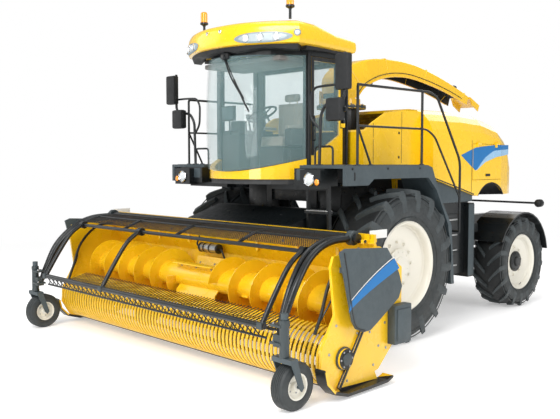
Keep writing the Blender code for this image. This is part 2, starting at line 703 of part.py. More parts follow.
def cab_door(machine):
    """Left door: one panel with its window cut, and the pane in it."""
    gap = 0.006
    y_low, y_high = CAB_PILLAR_Y + 0.05 + gap, CAB_REAR_Y - CAB_POST - gap
    pivot = (*DOOR_HINGE, 2.0)
    hinge = empty("door_hinge", pivot, machine)
    z_low, z_high = WALK_Z + gap + FIT_GAP, CAB_TOP_Z - 0.09 - gap
    outer = CAB_HALF_W - 0.005
    panel = box((CAB_HALF_W - CAB_WALL + 0.005, outer), (y_low, y_high), (z_low, z_high))
    leaves = []
    for z in DOOR_HINGE_Z:
        leaves.append(rod("z", DOOR_HINGE, HINGE_R, z - 0.05, z, 12))
        leaves.append(box((outer - 0.01, DOOR_HINGE[0]), (y_high - 0.04, DOOR_HINGE[1] - 0.002),
                          (z - 0.05, z)))
    rim = 0.045

    def window(fit):
        front, rear, top = y_low + rim + fit, y_high - rim - fit, z_high - rim - fit
        return sill_points(front, rear, 0.03 + 1.5 * fit) + [(rear, top), (front, top)]

    panel = cut(panel, prism(window(0.0), "x", 0.5, 1.2))
    finish(fuse(panel, *leaves), "cab_door", "yellow", hinge, pivot)
    pane = prism(window(FIT_GAP), "x", CAB_HALF_W - 0.034, CAB_HALF_W - 0.034 + GLASS)
    finish(pane, "door_glass", "glass", hinge, pivot)


# ---------------------------------------------------------------- platforms, walkways and rails
def platforms(machine):
    for name, side in SIDES:
        deck = box(span(side, CAB_HALF_W + 0.03, 1.34), (-1.22, -0.98),
                   (WALK_Z - 0.24, WALK_Z - WALK_T - FIT_GAP))
        lamp = box(span(side, CAB_HALF_W + 0.20, 1.36), (-1.30, -1.17), (1.935, WALK_Z - 0.05))
        shelf = box(span(side, RAIL_X, 1.20), (-1.16, -1.00),
                    (CAB_FLOOR_Z[0] - 0.06, CAB_FLOOR_Z[0] - FIT_GAP))
        pieces = [deck, lamp, shelf]
        if side > 0:
            for x in (1.00, 1.32):
                pieces.append(bar((x, -1.12, WALK_Z - 0.10), (x, -1.08, 0.62), 0.03, 0.05))
            for i in range(4):
                z = 0.68 + 0.32 * i
                pieces.append(box((0.99, 1.33), (-1.17, -1.05), (z, z + 0.03)))
        finish(fuse(*pieces), name + "_platform", "black", machine)


def walkway_line():
    """Side outline of a walkway and the mudguard leg behind the front wheel, front to rear."""
    return [(-1.16, WALK_Z), (0.42, WALK_Z), (0.52, WALK_Z - 0.03), (0.72, WALK_Z - 0.42),
            (0.98, 1.40), (1.06, 0.62)]


def walkways(machine):
    for name, side in SIDES:
        plate = prism(strip(walkway_line(), WALK_T), "x", *span(side, WALK_X[0] + 0.02, WALK_X[1]))
        inner_cut = box(span(side, 0.5, BODY_HALF_W + 0.04), (0.35, 1.5), (0.3, WALK_Z - 0.05))
        plate = cut(plate, inner_cut)
        flange_line = [(-1.16, WALK_Z - SKIRT_H), (-1.16, WALK_Z - 0.002), (0.42, WALK_Z - 0.002),
                       (0.52, WALK_Z - 0.032), (0.72, WALK_Z - 0.422), (0.979, 1.40),
                       (1.058, 0.62), (0.985, 0.62), (0.90, 1.42), (0.62, WALK_Z - 0.32),
                       (0.44, WALK_Z - 0.16), (-0.66, WALK_Z - 0.16), (-0.76, WALK_Z - SKIRT_H)]
        flange = prism(flange_line, "x", *span(side, WALK_X[1] - 0.03, WALK_X[1] + 0.02))
        tyre_room = rod("x", (0.0, FRONT_TYRE_R), FRONT_TYRE_R + 0.03, *span(side, 0.95, 1.75), 48)
        piece = cut(fuse(plate, flange), tyre_room)
        finish(piece, name + "_mudguard", "grey", machine)

        foot = WALK_Z + FIT_GAP
        x = WALK_X[1] - 0.035
        top = WALK_Z + 0.92
        posts = [tube([(side * x, -0.90, foot), (side * x, -0.90, top)], 0.016),
                 tube([(side * x, 0.36, foot), (side * x, 0.36, top)], 0.016)]
        upper = tube(mirrored(side, [(x, -0.90, top), (x, 0.52, top), (x + 0.045, 0.62, top - 0.06),
                                     (x + 0.06, 1.15, 2.25), (x + 0.06, 1.15, 1.30)]), 0.016)
        middle = tube(mirrored(side, [(x, -0.90, foot + 0.45), (x, 0.46, foot + 0.45),
                                      (x + 0.03, 0.60, foot + 0.36), (x + 0.06, 1.16, 1.75)]), 0.013)
        brace = tube(mirrored(side, [(x, -0.66, foot), (x, -0.66, foot + 0.03),
                                     (x, -0.90, foot + 0.45)]), 0.013)
        foot_tie = tube(mirrored(side, [(x + 0.06, 1.15, 1.31), (x - 0.2, 1.15, 1.31),
                                        (WALK_X[1] - 0.25 + FIT_GAP, 1.15, 1.31)]), 0.016)
        finish(fuse(upper, *posts, middle, brace, foot_tie), name + "_handrail", "black", machine)

        mirror(machine, name, side)


def mirror(machine, name, side):
    """Mirror on a bent arm that stands on the front platform."""
    base_z = WALK_Z + FIT_GAP
    arm = tube(mirrored(side, [(1.16, -1.10, base_z), (1.18, -1.10, 2.78), (1.26, -1.11, 2.90),
                               (1.50, -1.12, 2.92), (1.56, -1.12, 2.98), (1.56, -1.12, 3.46)]), 0.018)
    loop = tube(mirrored(side, [(1.17, -1.10, 2.62), (1.04, -1.12, 2.74), (1.03, -1.12, 3.00),
                                (1.10, -1.12, 3.10), (1.30, -1.12, 3.11), (1.46, -1.12, 3.11),
                                (1.55, -1.12, 3.11)]), 0.014)
    tall = box(span(side, 1.49, 1.68), (-1.22, -1.13), (3.04, 3.44))
    wide = box(span(side, 1.34, 1.56), (-1.21, -1.11), (2.70, 2.96))
    finish(fuse(arm, loop, tall, wide), name + "_mirror", "black", machine)


# ---------------------------------------------------------------- body, hood and spout
def body(machine):
    """Yellow bodywork behind the cab, with the black deck on top."""
    wall = HOOD_WALL
    y0, y1 = BODY_Y
    foot = WALK_Z + FIT_GAP
    side_line = [(y0, foot), (0.62, foot), (y1, foot - 0.20), (y1, BODY_TOP_Z), (0.62, BODY_TOP_Z),
                 (0.30, 2.88), (0.02, 2.74), (y0, 2.62)]
    outer = prism(side_line, "x", -BODY_HALF_W, BODY_HALF_W)
    hollow = box((-BODY_HALF_W + wall, BODY_HALF_W - wall), (y0 + wall, y1 + 0.1),
                 (1.0, 3.4))
    shell = cut(outer, hollow)
    legs = []
    for _, side in SIDES:
        legs.append(box(span(side, RAIL_X - 0.05, RAIL_X + 0.05), (y0 + 0.02, y0 + 0.10),
                        (RAIL_Z[1] + FIT_GAP, foot + 0.10)))
    finish(fuse(shell, *legs), "body_panels", "yellow", machine)

    inside = BODY_HALF_W - wall - FIT_GAP
    deck = box((-inside, inside), (y0 + wall + FIT_GAP, y1), (2.52, 2.56))
    riser = rod("z", (0.0, TURRET_Y), TURRET_R - 0.05, 2.50, 2.98, 24)
    duct = box((-0.26, 0.26), (TURRET_Y - 0.30, TURRET_Y + 0.30), (1.10, 2.54))
    drum = rod("x", (TURRET_Y - 0.05, 1.02), 0.38, -0.345, 0.345, 20)
    feeder_front = box((-0.33, 0.33), (0.24, TURRET_Y), (0.80, 1.30))
    deck_piece = fuse(deck, riser, duct, drum, feeder_front)
    cut(deck_piece, rod("z", (0.0, TURRET_Y), TURRET_R - 0.09, 1.9, 3.3, 24))
    finish(deck_piece, "chopper_housing", "black", machine)


def hood_section(grow):
    """Cross-section of the rear hood, bottom left round the top to bottom right."""
    half = HOOD_HALF_W - grow
    top = HOOD_TOP_Z - grow
    shoulder = 0.42 - grow * 0.5
    right = arc((-half + shoulder, top - shoulder), shoulder, 180, 90, 6)
    left = arc((half - shoulder, top - shoulder), shoulder, 90, 0, 6)
    return right + left


def hood(machine):
    """Rear hood: an arched shell with an open bottom, a rounded tail and a door in each side."""
    tail_y = HOOD_Y[1]
    stations = [(HOOD_Y[0], 1.0, 0.0), (tail_y - 1.46, 1.0, 0.0), (tail_y - 0.91, 1.0, 0.03),
                (tail_y - 0.46, 1.0, 0.12), (tail_y - 0.20, 0.97, 0.25), (tail_y - 0.05, 0.93, 0.42),
                (tail_y, 0.90, 0.62)]

    def rings(grow, shift):
        out = []
        for y, squeeze, drop in stations:
            section = hood_section(grow)
            points = [(x * squeeze, z - drop) for x, z in section]
            ring = [(points[0][0], HOOD_FOOT_Z)] + points + [(points[-1][0], HOOD_FOOT_Z)]
            yy = y - shift if y > HOOD_Y[0] + 0.01 else y - 0.01 * (shift > 0)
            out.append([(x, yy, max(z, HOOD_FOOT_Z)) for x, z in ring])
        return out

    outer = loft(rings(0.0, 0.0))
    inner_rings = rings(HOOD_WALL, HOOD_WALL)
    inner_rings = [[(x, y, z - (0.3 if z < HOOD_FOOT_Z + 0.01 else 0.0)) for x, y, z in ring]
                   for ring in inner_rings]
    rake = prism([(1.0, HOOD_FOOT_Z - 0.1), (2.16, HOOD_FOOT_Z - 0.1), (2.16, HOOD_FOOT_Z + 0.005),
                  (1.0, HOOD_FOOT_Z + 0.29)], "x", -1.4, 1.4)
    shell = cut(outer, loft(inner_rings), rake)
    for _, side in SIDES:
        low, high = HOOD_DOOR_Z
        opening = box(span(side, 1.0, 1.5), HOOD_DOOR_Y, (low, high))
        arch = rod("x", HOOD_ARCH, HOOD_ARCH_R, *span(side, 1.0, 1.5), 40)
        cut(shell, opening, arch)
    ribs = []
    for _, side in SIDES:
        for y, reach, z in ((1.30, HOOD_HALF_W - HOOD_WALL / 2, 1.98),
                            (tail_y - 0.24, HOOD_HALF_W * 0.955, 1.765)):
            ribs.append(box(span(side, RAIL_X - 0.03, reach), (y + 0.004, y + 0.046), (z, z + 0.025)))
            ribs.append(box(span(side, RAIL_X - 0.04, RAIL_X + 0.04), (y, y + 0.05),
                            (RAIL_Z[1] + FIT_GAP, z + 0.035)))
    for _, side in SIDES:
        for y in (HOOD_DOOR_Y[0] + 0.15, HOOD_DOOR_Y[1] - 0.15):
            ribs.append(rod("y", (side * HOOD_HINGE[0], HOOD_HINGE[1]), HINGE_R, y + FIT_GAP, y + 0.05,
                            12))
            ribs.append(box(span(side, HOOD_HALF_W - 0.01, HOOD_HINGE[0]), (y + FIT_GAP, y + 0.05),
                            (HOOD_HINGE[1] - 0.006, HOOD_HINGE[1] + 0.03)))
    # Cheek plates close the step from the narrower body to the hood.
    shoulder = 0.42
    for _, side in SIDES:
        crown = arc((HOOD_HALF_W - shoulder, HOOD_TOP_Z - shoulder), shoulder - HOOD_WALL / 2, 0, 52, 6)
        cheek = [(BODY_HALF_W + 0.01, HOOD_FOOT_Z + 0.31), (HOOD_HALF_W - HOOD_WALL / 2, HOOD_FOOT_Z + 0.31)]
        ribs.append(prism([(side * x, z) for x, z in cheek + crown], "y",
                          HOOD_Y[0] + 0.002, HOOD_Y[0] + 0.03))
    tail = box((-0.36, 0.36), (HOOD_Y[1] - 0.06, HOOD_Y[1] + 0.055), (1.42, 1.95))
    for _, side in SIDES:
        ribs.append(tube(mirrored(side, [(0.3, HOOD_Y[1] + 0.02, 1.60), (1.20, HOOD_Y[1] + 0.02, 1.60),
                                         (1.62, HOOD_Y[1] + 0.02, 1.60)]), 0.016))
        ribs.append(rod("y", (side * 1.64, 1.60), 0.055, HOOD_Y[1] - 0.03, HOOD_Y[1] + 0.06, 14))
    finish(fuse(shell, *ribs, tail), "rear_hood", "yellow", machine)

    for name, side in SIDES:
        gap = 0.006
        y0, y1 = HOOD_DOOR_Y
        low, high = HOOD_DOOR_Z
        pivot = (side * HOOD_HINGE[0], 0.0, HOOD_HINGE[1])
        hinge = empty(name + "_hood_hinge", pivot, machine)
        outer_x = HOOD_HALF_W + 0.004
        panel = box(span(side, outer_x - HOOD_WALL, outer_x), (y0 + gap, y1 - gap),
                    (low + gap, high - gap))
        leaves = []
        for y in (y0 + 0.15, y1 - 0.15):
            leaves.append(rod("y", (side * HOOD_HINGE[0], HOOD_HINGE[1]), HINGE_R, y - 0.05, y, 12))
            leaves.append(box(span(side, outer_x - 0.01, HOOD_HINGE[0]), (y - 0.05, y),
                              (high - 0.05, high - FIT_GAP)))
        panel = fuse(panel, *leaves)
        finish(panel, name + "_hood_door", "yellow", hinge, pivot)


def spout(machine):
    turret_pivot = (0.0, TURRET_Y, 2.98)
    slew = empty("spout_slew_axis", turret_pivot, machine)
    low = 2.98 + FIT_GAP
    turret = turn([(TURRET_R + 0.05, low), (TURRET_R + 0.05, 3.035), (TURRET_R - 0.03, 3.05),
                   (TURRET_R - 0.03, 3.12), (TURRET_R - 0.09, 3.12), (TURRET_R - 0.09, low)],
                  "z", (0.0, TURRET_Y, 0.0), 24)
    ears = [box(span(side, 0.215, 0.245), (TURRET_Y - 0.20, TURRET_Y + 0.02), (3.02, 3.24))
            for _, side in SIDES]
    hinge_z = 3.17
    hinge_y = TURRET_Y - 0.14
    pin = rod("x", (hinge_y, hinge_z), 0.022, -0.23, 0.23, 12)
    finish(fuse(turret, *ears, pin), "spout_turret", "yellow", slew, turret_pivot)

    lift_pivot = (0.0, hinge_y, hinge_z)
    lift = empty("spout_lift_axis", lift_pivot, slew)
    top = [(TURRET_Y - 0.22, 3.20), (TURRET_Y - 0.20, 3.42), (TURRET_Y + 0.02, 3.60),
           (TURRET_Y + 0.45, 3.72), (TURRET_Y + 1.00, 3.755), (TURRET_Y + 1.55, 3.72),
           (TURRET_Y + 2.20, 3.59), (TURRET_Y + 2.80, 3.42), (TURRET_Y + 3.05, 3.335)]
    bottom = [(TURRET_Y + 3.05, 3.18), (TURRET_Y + 2.50, 3.33), (TURRET_Y + 1.90, 3.45),
              (TURRET_Y + 1.30, 3.52), (TURRET_Y + 0.78, 3.48), (TURRET_Y + 0.36, 3.34),
              (TURRET_Y + 0.18, 3.20), (TURRET_Y + 0.14, 3.14)]
    half = 0.19
    arm = prism(top + bottom, "x", -half, half)
    hollow_top = [(y, z - 0.018) for y, z in top[2:]]
    hollow = prism([(TURRET_Y - 0.16, 3.0), (TURRET_Y - 0.17, 3.38)] + hollow_top[:-1]
                   + [(TURRET_Y + 3.2, 3.26)] + [(TURRET_Y + 3.2, 2.9), (TURRET_Y + 0.12, 2.9)],
                   "x", -half + 0.018, half - 0.018)
    arm = cut(arm, hollow)
    eye = rod("x", (hinge_y, hinge_z), 0.045, -half + 0.004, half - 0.004, 14)
    arm = fuse(arm, eye)
    cut(arm, rod("x", (hinge_y, hinge_z), 0.0229, -0.4, 0.4, 24))
    flap_y, flap_z = TURRET_Y + 3.075, 3.328
    lugs = []
    for _, side in SIDES:
        lugs.append(rod("x", (flap_y, flap_z), 0.014, *span(side, 0.12, half), 12))
        lugs.append(box(span(side, 0.121, half - 0.001), (flap_y - 0.045, flap_y),
                        (flap_z - 0.011, flap_z + 0.008)))
    arm = fuse(arm, *lugs)
    finish(arm, "spout_arm", "yellow", lift, lift_pivot)

    flap_pivot = (0.0, flap_y, flap_z)
    flap_axis = empty("spout_flap_axis", flap_pivot, lift)
    barrel = rod("x", (flap_y, flap_z), 0.014, -0.12 + FIT_GAP, 0.12 - FIT_GAP, 12)
    tongue = prism([(flap_y, flap_z - 0.010), (flap_y, flap_z + 0.010), (flap_y + 0.05, flap_z - 0.005),
                    (flap_y + 0.05, flap_z - 0.035)], "x", -0.118, 0.118)
    flap = prism([(flap_y + 0.03, 3.328), (flap_y + 0.33, 3.20), (flap_y + 0.31, 3.17),
                  (flap_y + 0.03, 3.296)], "x", -half, half)
    cheeks = [prism([(flap_y + 0.028, 3.32), (flap_y + 0.32, 3.19), (flap_y + 0.29, 3.10),
                     (flap_y + 0.095, 3.20)], "x", *span(side, half - 0.018, half))
              for _, side in SIDES]
    finish(fuse(barrel, tongue, flap, *cheeks), "spout_flap", "yellow", flap_axis, flap_pivot)


# ---------------------------------------------------------------- header
def header(machine):
    lift_pivot = (0.0, LIFT_Y, LIFT_Z)
    lift = empty("header_lift_axis", lift_pivot, machine)

    throat = prism([(LIFT_Y, 1.17), (LIFT_Y + 0.10, 1.30), (LIFT_Y, 1.43), (-0.60, 1.48),
                    (-1.30, 1.24), (-1.30, 0.50), (-1.00, 0.46), (-0.35, 1.17)], "x", -0.32, 0.32)
    hood_outline = [(-0.70, 1.66), (-0.86, 1.66), (-1.20, 1.55), (-1.38, 1.50), (-1.45, 1.43),
                    (-1.45, 1.34), (-1.38, 1.26), (-1.30, 1.20), (-0.98, 1.18), (-0.70, 1.46)]
    shroud = prism(hood_outline, "x", -0.96, 0.96)
    mouth = box((-0.28, 0.28), (-1.40, -1.02), (0.60, 1.12))
    throat = cut(throat, mouth)
    front = HEADER_BACK_Y + FIT_GAP
    legs = [box(span(side, 0.70, 0.82), (front, -1.22), (0.50, 1.22)) for _, side in SIDES]
    foot = box((-0.84, 0.84), (front, -1.23), (0.46, 0.60))
    lugs = []
    for _, side in SIDES:
        for x in (CYLINDER_X - 0.060, CYLINDER_X + 0.040):
            lugs.append(prism([(-1.26, 0.46), (-1.03, 0.475), (-1.03, 0.56), (-1.26, 0.60)], "x",
                              *span(side, x, x + 0.02)))
        lugs.append(rod("x", (CYLINDER_EYE[0], CYLINDER_EYE[1]), 0.012,
                        *span(side, CYLINDER_X - 0.05, CYLINDER_X + 0.05), 12))
    trunnions = [rod("x", (LIFT_Y, LIFT_Z), 0.035, *span(side, 0.30, RAIL_X - RAIL_W / 2 - FIT_GAP), 16)
                 for _, side in SIDES]
    pieces = fuse(throat, shroud, foot, *legs, *lugs, *trunnions)
    finish(pieces, "feed_housing", "black", lift, lift_pivot)
    header_frame(lift, lift_pivot)
    header_ends(lift, lift_pivot)
    header_drums(lift)
    windguard(lift)
    gauge_wheels(lift, lift_pivot)


def header_frame(lift, lift_pivot):
    """Trough with its rear wall, floor and pickup apron; the top beam with its mesh deck."""
    wall_back = HEADER_BACK_Y
    inside = AUGER_FLIGHT_R + 0.03
    curve = arc((AUGER_Y, AUGER_Z), inside, 10, -105, 9)
    line = [(BEAM_Y + 0.10, BEAM_Z + 0.04), (BEAM_Y + 0.10, BEAM_Z - 0.06),
            (AUGER_Y + inside + 0.02, 1.10)] + curve
    trough = prism(strip(list(reversed(line)), SHEET), "x", -HEADER_HALF_W + FIT_GAP,
                   HEADER_HALF_W - FIT_GAP)
    ribs = []
    for x in (-0.78, 0.78, -2.2, 2.2):
        ribs.append(prism([(wall_back, 0.56), (wall_back, 1.10), (BEAM_Y + 0.12, BEAM_Z - 0.03),
                           (AUGER_Y + inside + 0.045, 1.10), (AUGER_Y + inside + 0.025, AUGER_Z),
                           (AUGER_Y + 0.15, 0.56)], "x", x - 0.03, x + 0.03))
    cross = [box((-2.2, 2.2), (wall_back - 0.10, wall_back), (0.60, 0.72)),
             box((-2.2, 2.2), (wall_back - 0.08, wall_back), (0.98, 1.08))]
    mouth = box((-0.30, 0.30), (-1.62, -1.30), (0.735, 0.965))
    sweep = rod("x", (AUGER_Y, AUGER_Z), AUGER_FLIGHT_R + 0.02, -HEADER_HALF_W, HEADER_HALF_W, 24)
    finish(cut(fuse(trough, *ribs, *cross), mouth, sweep), "header_trough", "yellow", lift, lift_pivot)

    beam = rod("x", (BEAM_Y, BEAM_Z), BEAM_R, -HEADER_HALF_W + 0.12, HEADER_HALF_W - 0.12, 12)
    front = rod("x", (BEAM_Y - 0.56, BEAM_Z - 0.10), 0.022, -HEADER_HALF_W + 0.16,
                HEADER_HALF_W - 0.16, 8)
    links = []
    for x in (-2.2, -1.1, 0.0, 1.1, 2.2):
        links.append(tube([(x, BEAM_Y, BEAM_Z), (x, BEAM_Y - 0.30, BEAM_Z - 0.01),
                           (x, BEAM_Y - 0.56, BEAM_Z - 0.10)], 0.018))
    deck_line = [(BEAM_Y - 0.485, BEAM_Z - 0.070), (BEAM_Y - 0.30, BEAM_Z - 0.005),
                 (BEAM_Y, BEAM_Z + 0.005)]
    links.append(prism(strip(deck_line, 0.010), "x", -2.2, 2.2))
    seats = [box((x - 0.06, x + 0.06), (BEAM_Y, BEAM_Y + 0.10 - FIT_GAP),
                 (BEAM_Z - 0.025, BEAM_Z + 0.025)) for x in (-2.1, -0.7, 0.7, 2.1)]
    arms = []
    for _, side in SIDES:
        arms += gauge_arm(side)
    piece = fuse(beam, front, *links, *seats, *arms)
    finish(piece, "header_top_frame", "black", lift, lift_pivot)


def gauge_arm(side):
    """Curved arm from the top beam's end forward and down to the gauge wheel's upright sleeve."""
    x = GAUGE_X - 0.10
    sleeve_y = GAUGE_Y
    points = [(x - 0.06, BEAM_Y, BEAM_Z), (x - 0.06, BEAM_Y - 0.35, BEAM_Z - 0.02),
              (x - 0.04, BEAM_Y - 0.62, BEAM_Z - 0.13), (x, BEAM_Y - 0.86, BEAM_Z - 0.36),
              (x, BEAM_Y - 1.02, BEAM_Z - 0.66), (x, sleeve_y + 0.04, 0.66)]
    arm = tube(mirrored(side, points), 0.035)
    sleeve = turn([(0.046, 0.50), (0.046, 0.84), (0.0198, 0.84), (0.0198, 0.50)], "z",
                  (side * GAUGE_X, sleeve_y, 0.0), 16)
    joiner = box(span(side, x - 0.02, GAUGE_X - 0.03), (sleeve_y - 0.03, sleeve_y + 0.06),
                 (0.58, 0.70))
    return [arm, sleeve, joiner]


def header_ends(lift, lift_pivot):
    """End sheets with their skid shoes, and the shields outside them."""
    for name, side in SIDES:
        outline = [(-2.30, 1.36), (-2.34, 1.26), (-2.28, 0.80), (-2.46, 0.50), (-2.47, 0.30),
                   (-2.36, 0.12), (-2.10, 0.085), (-1.62, 0.16), (-1.36, 0.40), (-1.24, 0.62),
                   (-1.24, 1.16), (-1.60, 1.40)]
        sheet = prism(outline, "x", *span(side, HEADER_HALF_W, HEADER_HALF_W + SHEET))
        skid_line = [(-1.50, 0.075), (-1.58, 0.045), (-2.20, 0.035), (-2.38, 0.09), (-2.49, 0.20),
                     (-2.52, 0.32)]
        skid = prism(strip(skid_line, 0.022), "x",
                     *span(side, HEADER_HALF_W + 0.002, HEADER_HALF_W + 0.13))
        web = prism([(-1.62, 0.05), (-2.20, 0.045), (-2.36, 0.10), (-2.30, 0.20), (-1.7, 0.20)],
                    "x", *span(side, HEADER_HALF_W + 0.004, HEADER_HALF_W + 0.028))
        hub = rod("x", (REEL_Y, REEL_Z), 0.10, *span(side, HEADER_HALF_W + 0.01,
                                                    HEADER_HALF_W + 0.07), 20)
        brace = bar((side * (HEADER_HALF_W + 0.045), -2.24, 0.10),
                    (side * (HEADER_HALF_W + 0.045), -1.86, 0.66), 0.035, 0.04)
        drive_box = box(span(side, HEADER_HALF_W + 0.015, HEADER_HALF_W + 0.12), (-1.46, -1.20),
                        (0.40, 0.78))
        piece = fuse(sheet, skid, web, hub, brace, drive_box)
        hole = rod("x", (REEL_Y, REEL_Z), 0.0258, *span(side, HEADER_HALF_W - 0.1,
                                                       HEADER_HALF_W + 0.05), 20)
        hole_two = rod("x", (AUGER_Y, AUGER_Z), 0.0308, *span(side, HEADER_HALF_W - 0.1,
                                                             HEADER_HALF_W + 0.1), 20)
        finish(cut(piece, hole, hole_two), "header_" + name + "_end", "yellow", lift, lift_pivot)

        shield_line = [(-2.34, 1.41), (-2.16, 0.74), (-2.10, 0.66), (-1.99, 0.615), (-1.89, 0.62),
                       (-1.78, 0.68), (-1.44, 0.88), (-1.39, 0.99), (-1.44, 1.13), (-1.53, 1.27),
                       (-1.64, 1.40), (-2.26, 1.44)]
        x0 = HEADER_HALF_W + 0.125
        shield = prism(shield_line, "x", *span(side, x0, x0 + 0.022))
        pegs = [box(span(side, HEADER_HALF_W + SHEET + FIT_GAP, x0 + 0.01), (y, y + 0.05),
                    (z, z + 0.05)) for y, z in ((-2.22, 1.20), (-1.62, 1.12), (-1.90, 0.74))]
        finish(fuse(shield, *pegs), name + "_shield", "grey", lift, lift_pivot)


def helix_blade(start, end, hand, inner, outer, pitch, thick):
    """Screw flight between two X positions."""
    turns = abs(end - start) / pitch
    count = max(4, int(turns * 11))
    shape = bmesh.new()
    rings = []
    for i in range(count + 1):
        x = start + (end - start) * i / count
        angle = hand * 2 * math.pi * turns * i / count
        ring = []
        for radius, shift in ((inner, -0.5), (outer, -0.5), (outer, 0.5), (inner, 0.5)):
            ring.append(shape.verts.new((x + shift * thick, AUGER_Y + radius * math.cos(angle),
                                         AUGER_Z + radius * math.sin(angle))))
        rings.append(ring)
    for one, two in zip(rings, rings[1:]):
        for k in range(4):
            nxt = (k + 1) % 4
            quad = (one[k], one[nxt], two[nxt], two[k])
            shape.faces.new(quad[:3])
            shape.faces.new((quad[0], quad[2], quad[3]))
    shape.faces.new(list(reversed(rings[0])))
    shape.faces.new(rings[-1])
    return from_bmesh(shape)


def header_drums(lift):
    """Cross auger and pickup reel, each turning on its shaft in the end sheets."""
    end_gap = 0.02
    half = HEADER_HALF_W - end_gap
    pivot = (0.0, AUGER_Y, AUGER_Z)
    axis = empty("auger_axis", pivot, lift)
    core = rod("x", (AUGER_Y, AUGER_Z), AUGER_TUBE_R, -half, half, 14)
    shaft = rod("x", (AUGER_Y, AUGER_Z), 0.03, -HEADER_HALF_W - 0.06, HEADER_HALF_W + 0.06, 14)
    blades = [helix_blade(side * (half - 0.02), side * 0.42, side, AUGER_TUBE_R - 0.012,
                          AUGER_FLIGHT_R, 0.48, 0.014) for _, side in SIDES]
    paddles = []
    for k in range(4):
        plate = box((-0.36, 0.36), (0.10, AUGER_FLIGHT_R - 0.02), (-0.008, 0.008))
        turn_to = Matrix.Rotation(math.pi / 4 + k * math.pi / 2, 4, "X")
        plate.data.transform(Matrix.Translation(pivot) @ turn_to)
        paddles.append(plate)
    finish(fuse(core, shaft, *blades, *paddles), "auger", "yellow", axis, pivot)

    pivot = (0.0, REEL_Y, REEL_Z)
    axis = empty("reel_axis", pivot, lift)
    half = HEADER_HALF_W - 0.02
    core = rod("x", (REEL_Y, REEL_Z), 0.05, -half, half, 10)
    shaft = rod("x", (REEL_Y, REEL_Z), 0.025, -HEADER_HALF_W - 0.035, HEADER_HALF_W + 0.035, 12)
    discs = [rod("x", (REEL_Y, REEL_Z), 0.20, x - 0.006, x + 0.006, 12)
             for x in (-half + 0.01, 0.0, half - 0.01)]
    bars = []
    for k in range(5):
        angle = 2 * math.pi * k / 5
        centre = (REEL_Y + 0.19 * math.cos(angle), REEL_Z + 0.19 * math.sin(angle))
        bars.append(rod("x", centre, 0.017, -half + 0.005, half - 0.005, 6))
    finish(fuse(core, shaft, *discs, *bars), "pickup_reel", "black", axis, pivot)

    tail = [(AUGER_Y - 0.106, AUGER_Z - 0.328), (AUGER_Y - 0.19, AUGER_Z - 0.28)]
    bands = strip(tail + arc((REEL_Y, REEL_Z), BAND_R, 95, 262, 12), SHEET * 0.5)
    fixed = prism([(y, z) for y, z in bands], "x", -HEADER_HALF_W + FIT_GAP, HEADER_HALF_W - FIT_GAP)
    finish(fixed, "pickup_bands", "yellow", lift, (0.0, LIFT_Y, LIFT_Z))


def windguard(lift):
    """Crop press: front bar on curved arms that hang from the top frame's front rail."""
    pivot = (0.0, BEAM_Y - 0.56, BEAM_Z - 0.10)
    axis = empty("windguard_axis", pivot, lift)
    front_bar = rod("x", (BAR_Y, BAR_Z), 0.03, -BAR_HALF_W, BAR_HALF_W, 8)
    rail_y, rail_z = pivot[1], pivot[2]
    arms = []
    for x in (-BAR_HALF_W + 0.04, -0.70, BAR_HALF_W - 0.04):
        eye = rod("x", (rail_y, rail_z), 0.05, x - 0.035, x + 0.035, 12)
        arm = tube([(x, rail_y - 0.03, rail_z), (x, rail_y - 0.20, rail_z - 0.12),
                    (x, rail_y - 0.38, rail_z - 0.36), (x, BAR_Y, BAR_Z)], 0.026, 6)
        arms += [arm, eye]
    low_rail = rod("x", (BAR_Y + 0.26, BAR_Z - 0.09), 0.014, -BAR_HALF_W + 0.02,
                   BAR_HALF_W - 0.02, 8)
    count = 7
    fingers = []
    for i in range(count):
        x = -BAR_HALF_W + 0.06 + (2 * BAR_HALF_W - 0.12) * i / (count - 1)
        fingers.append(tube([(x, BAR_Y, BAR_Z), (x, BAR_Y + 0.26, BAR_Z - 0.09),
                             (x, BAR_Y + 0.60, BAR_Z - 0.02)], 0.009, 4))
    piece = fuse(front_bar, *arms, low_rail, *fingers)
    cut(piece, rod("x", (rail_y, rail_z), 0.0229, -BAR_HALF_W - 0.2, BAR_HALF_W + 0.2, 24))
    finish(piece, "windguard", "black", axis, pivot)


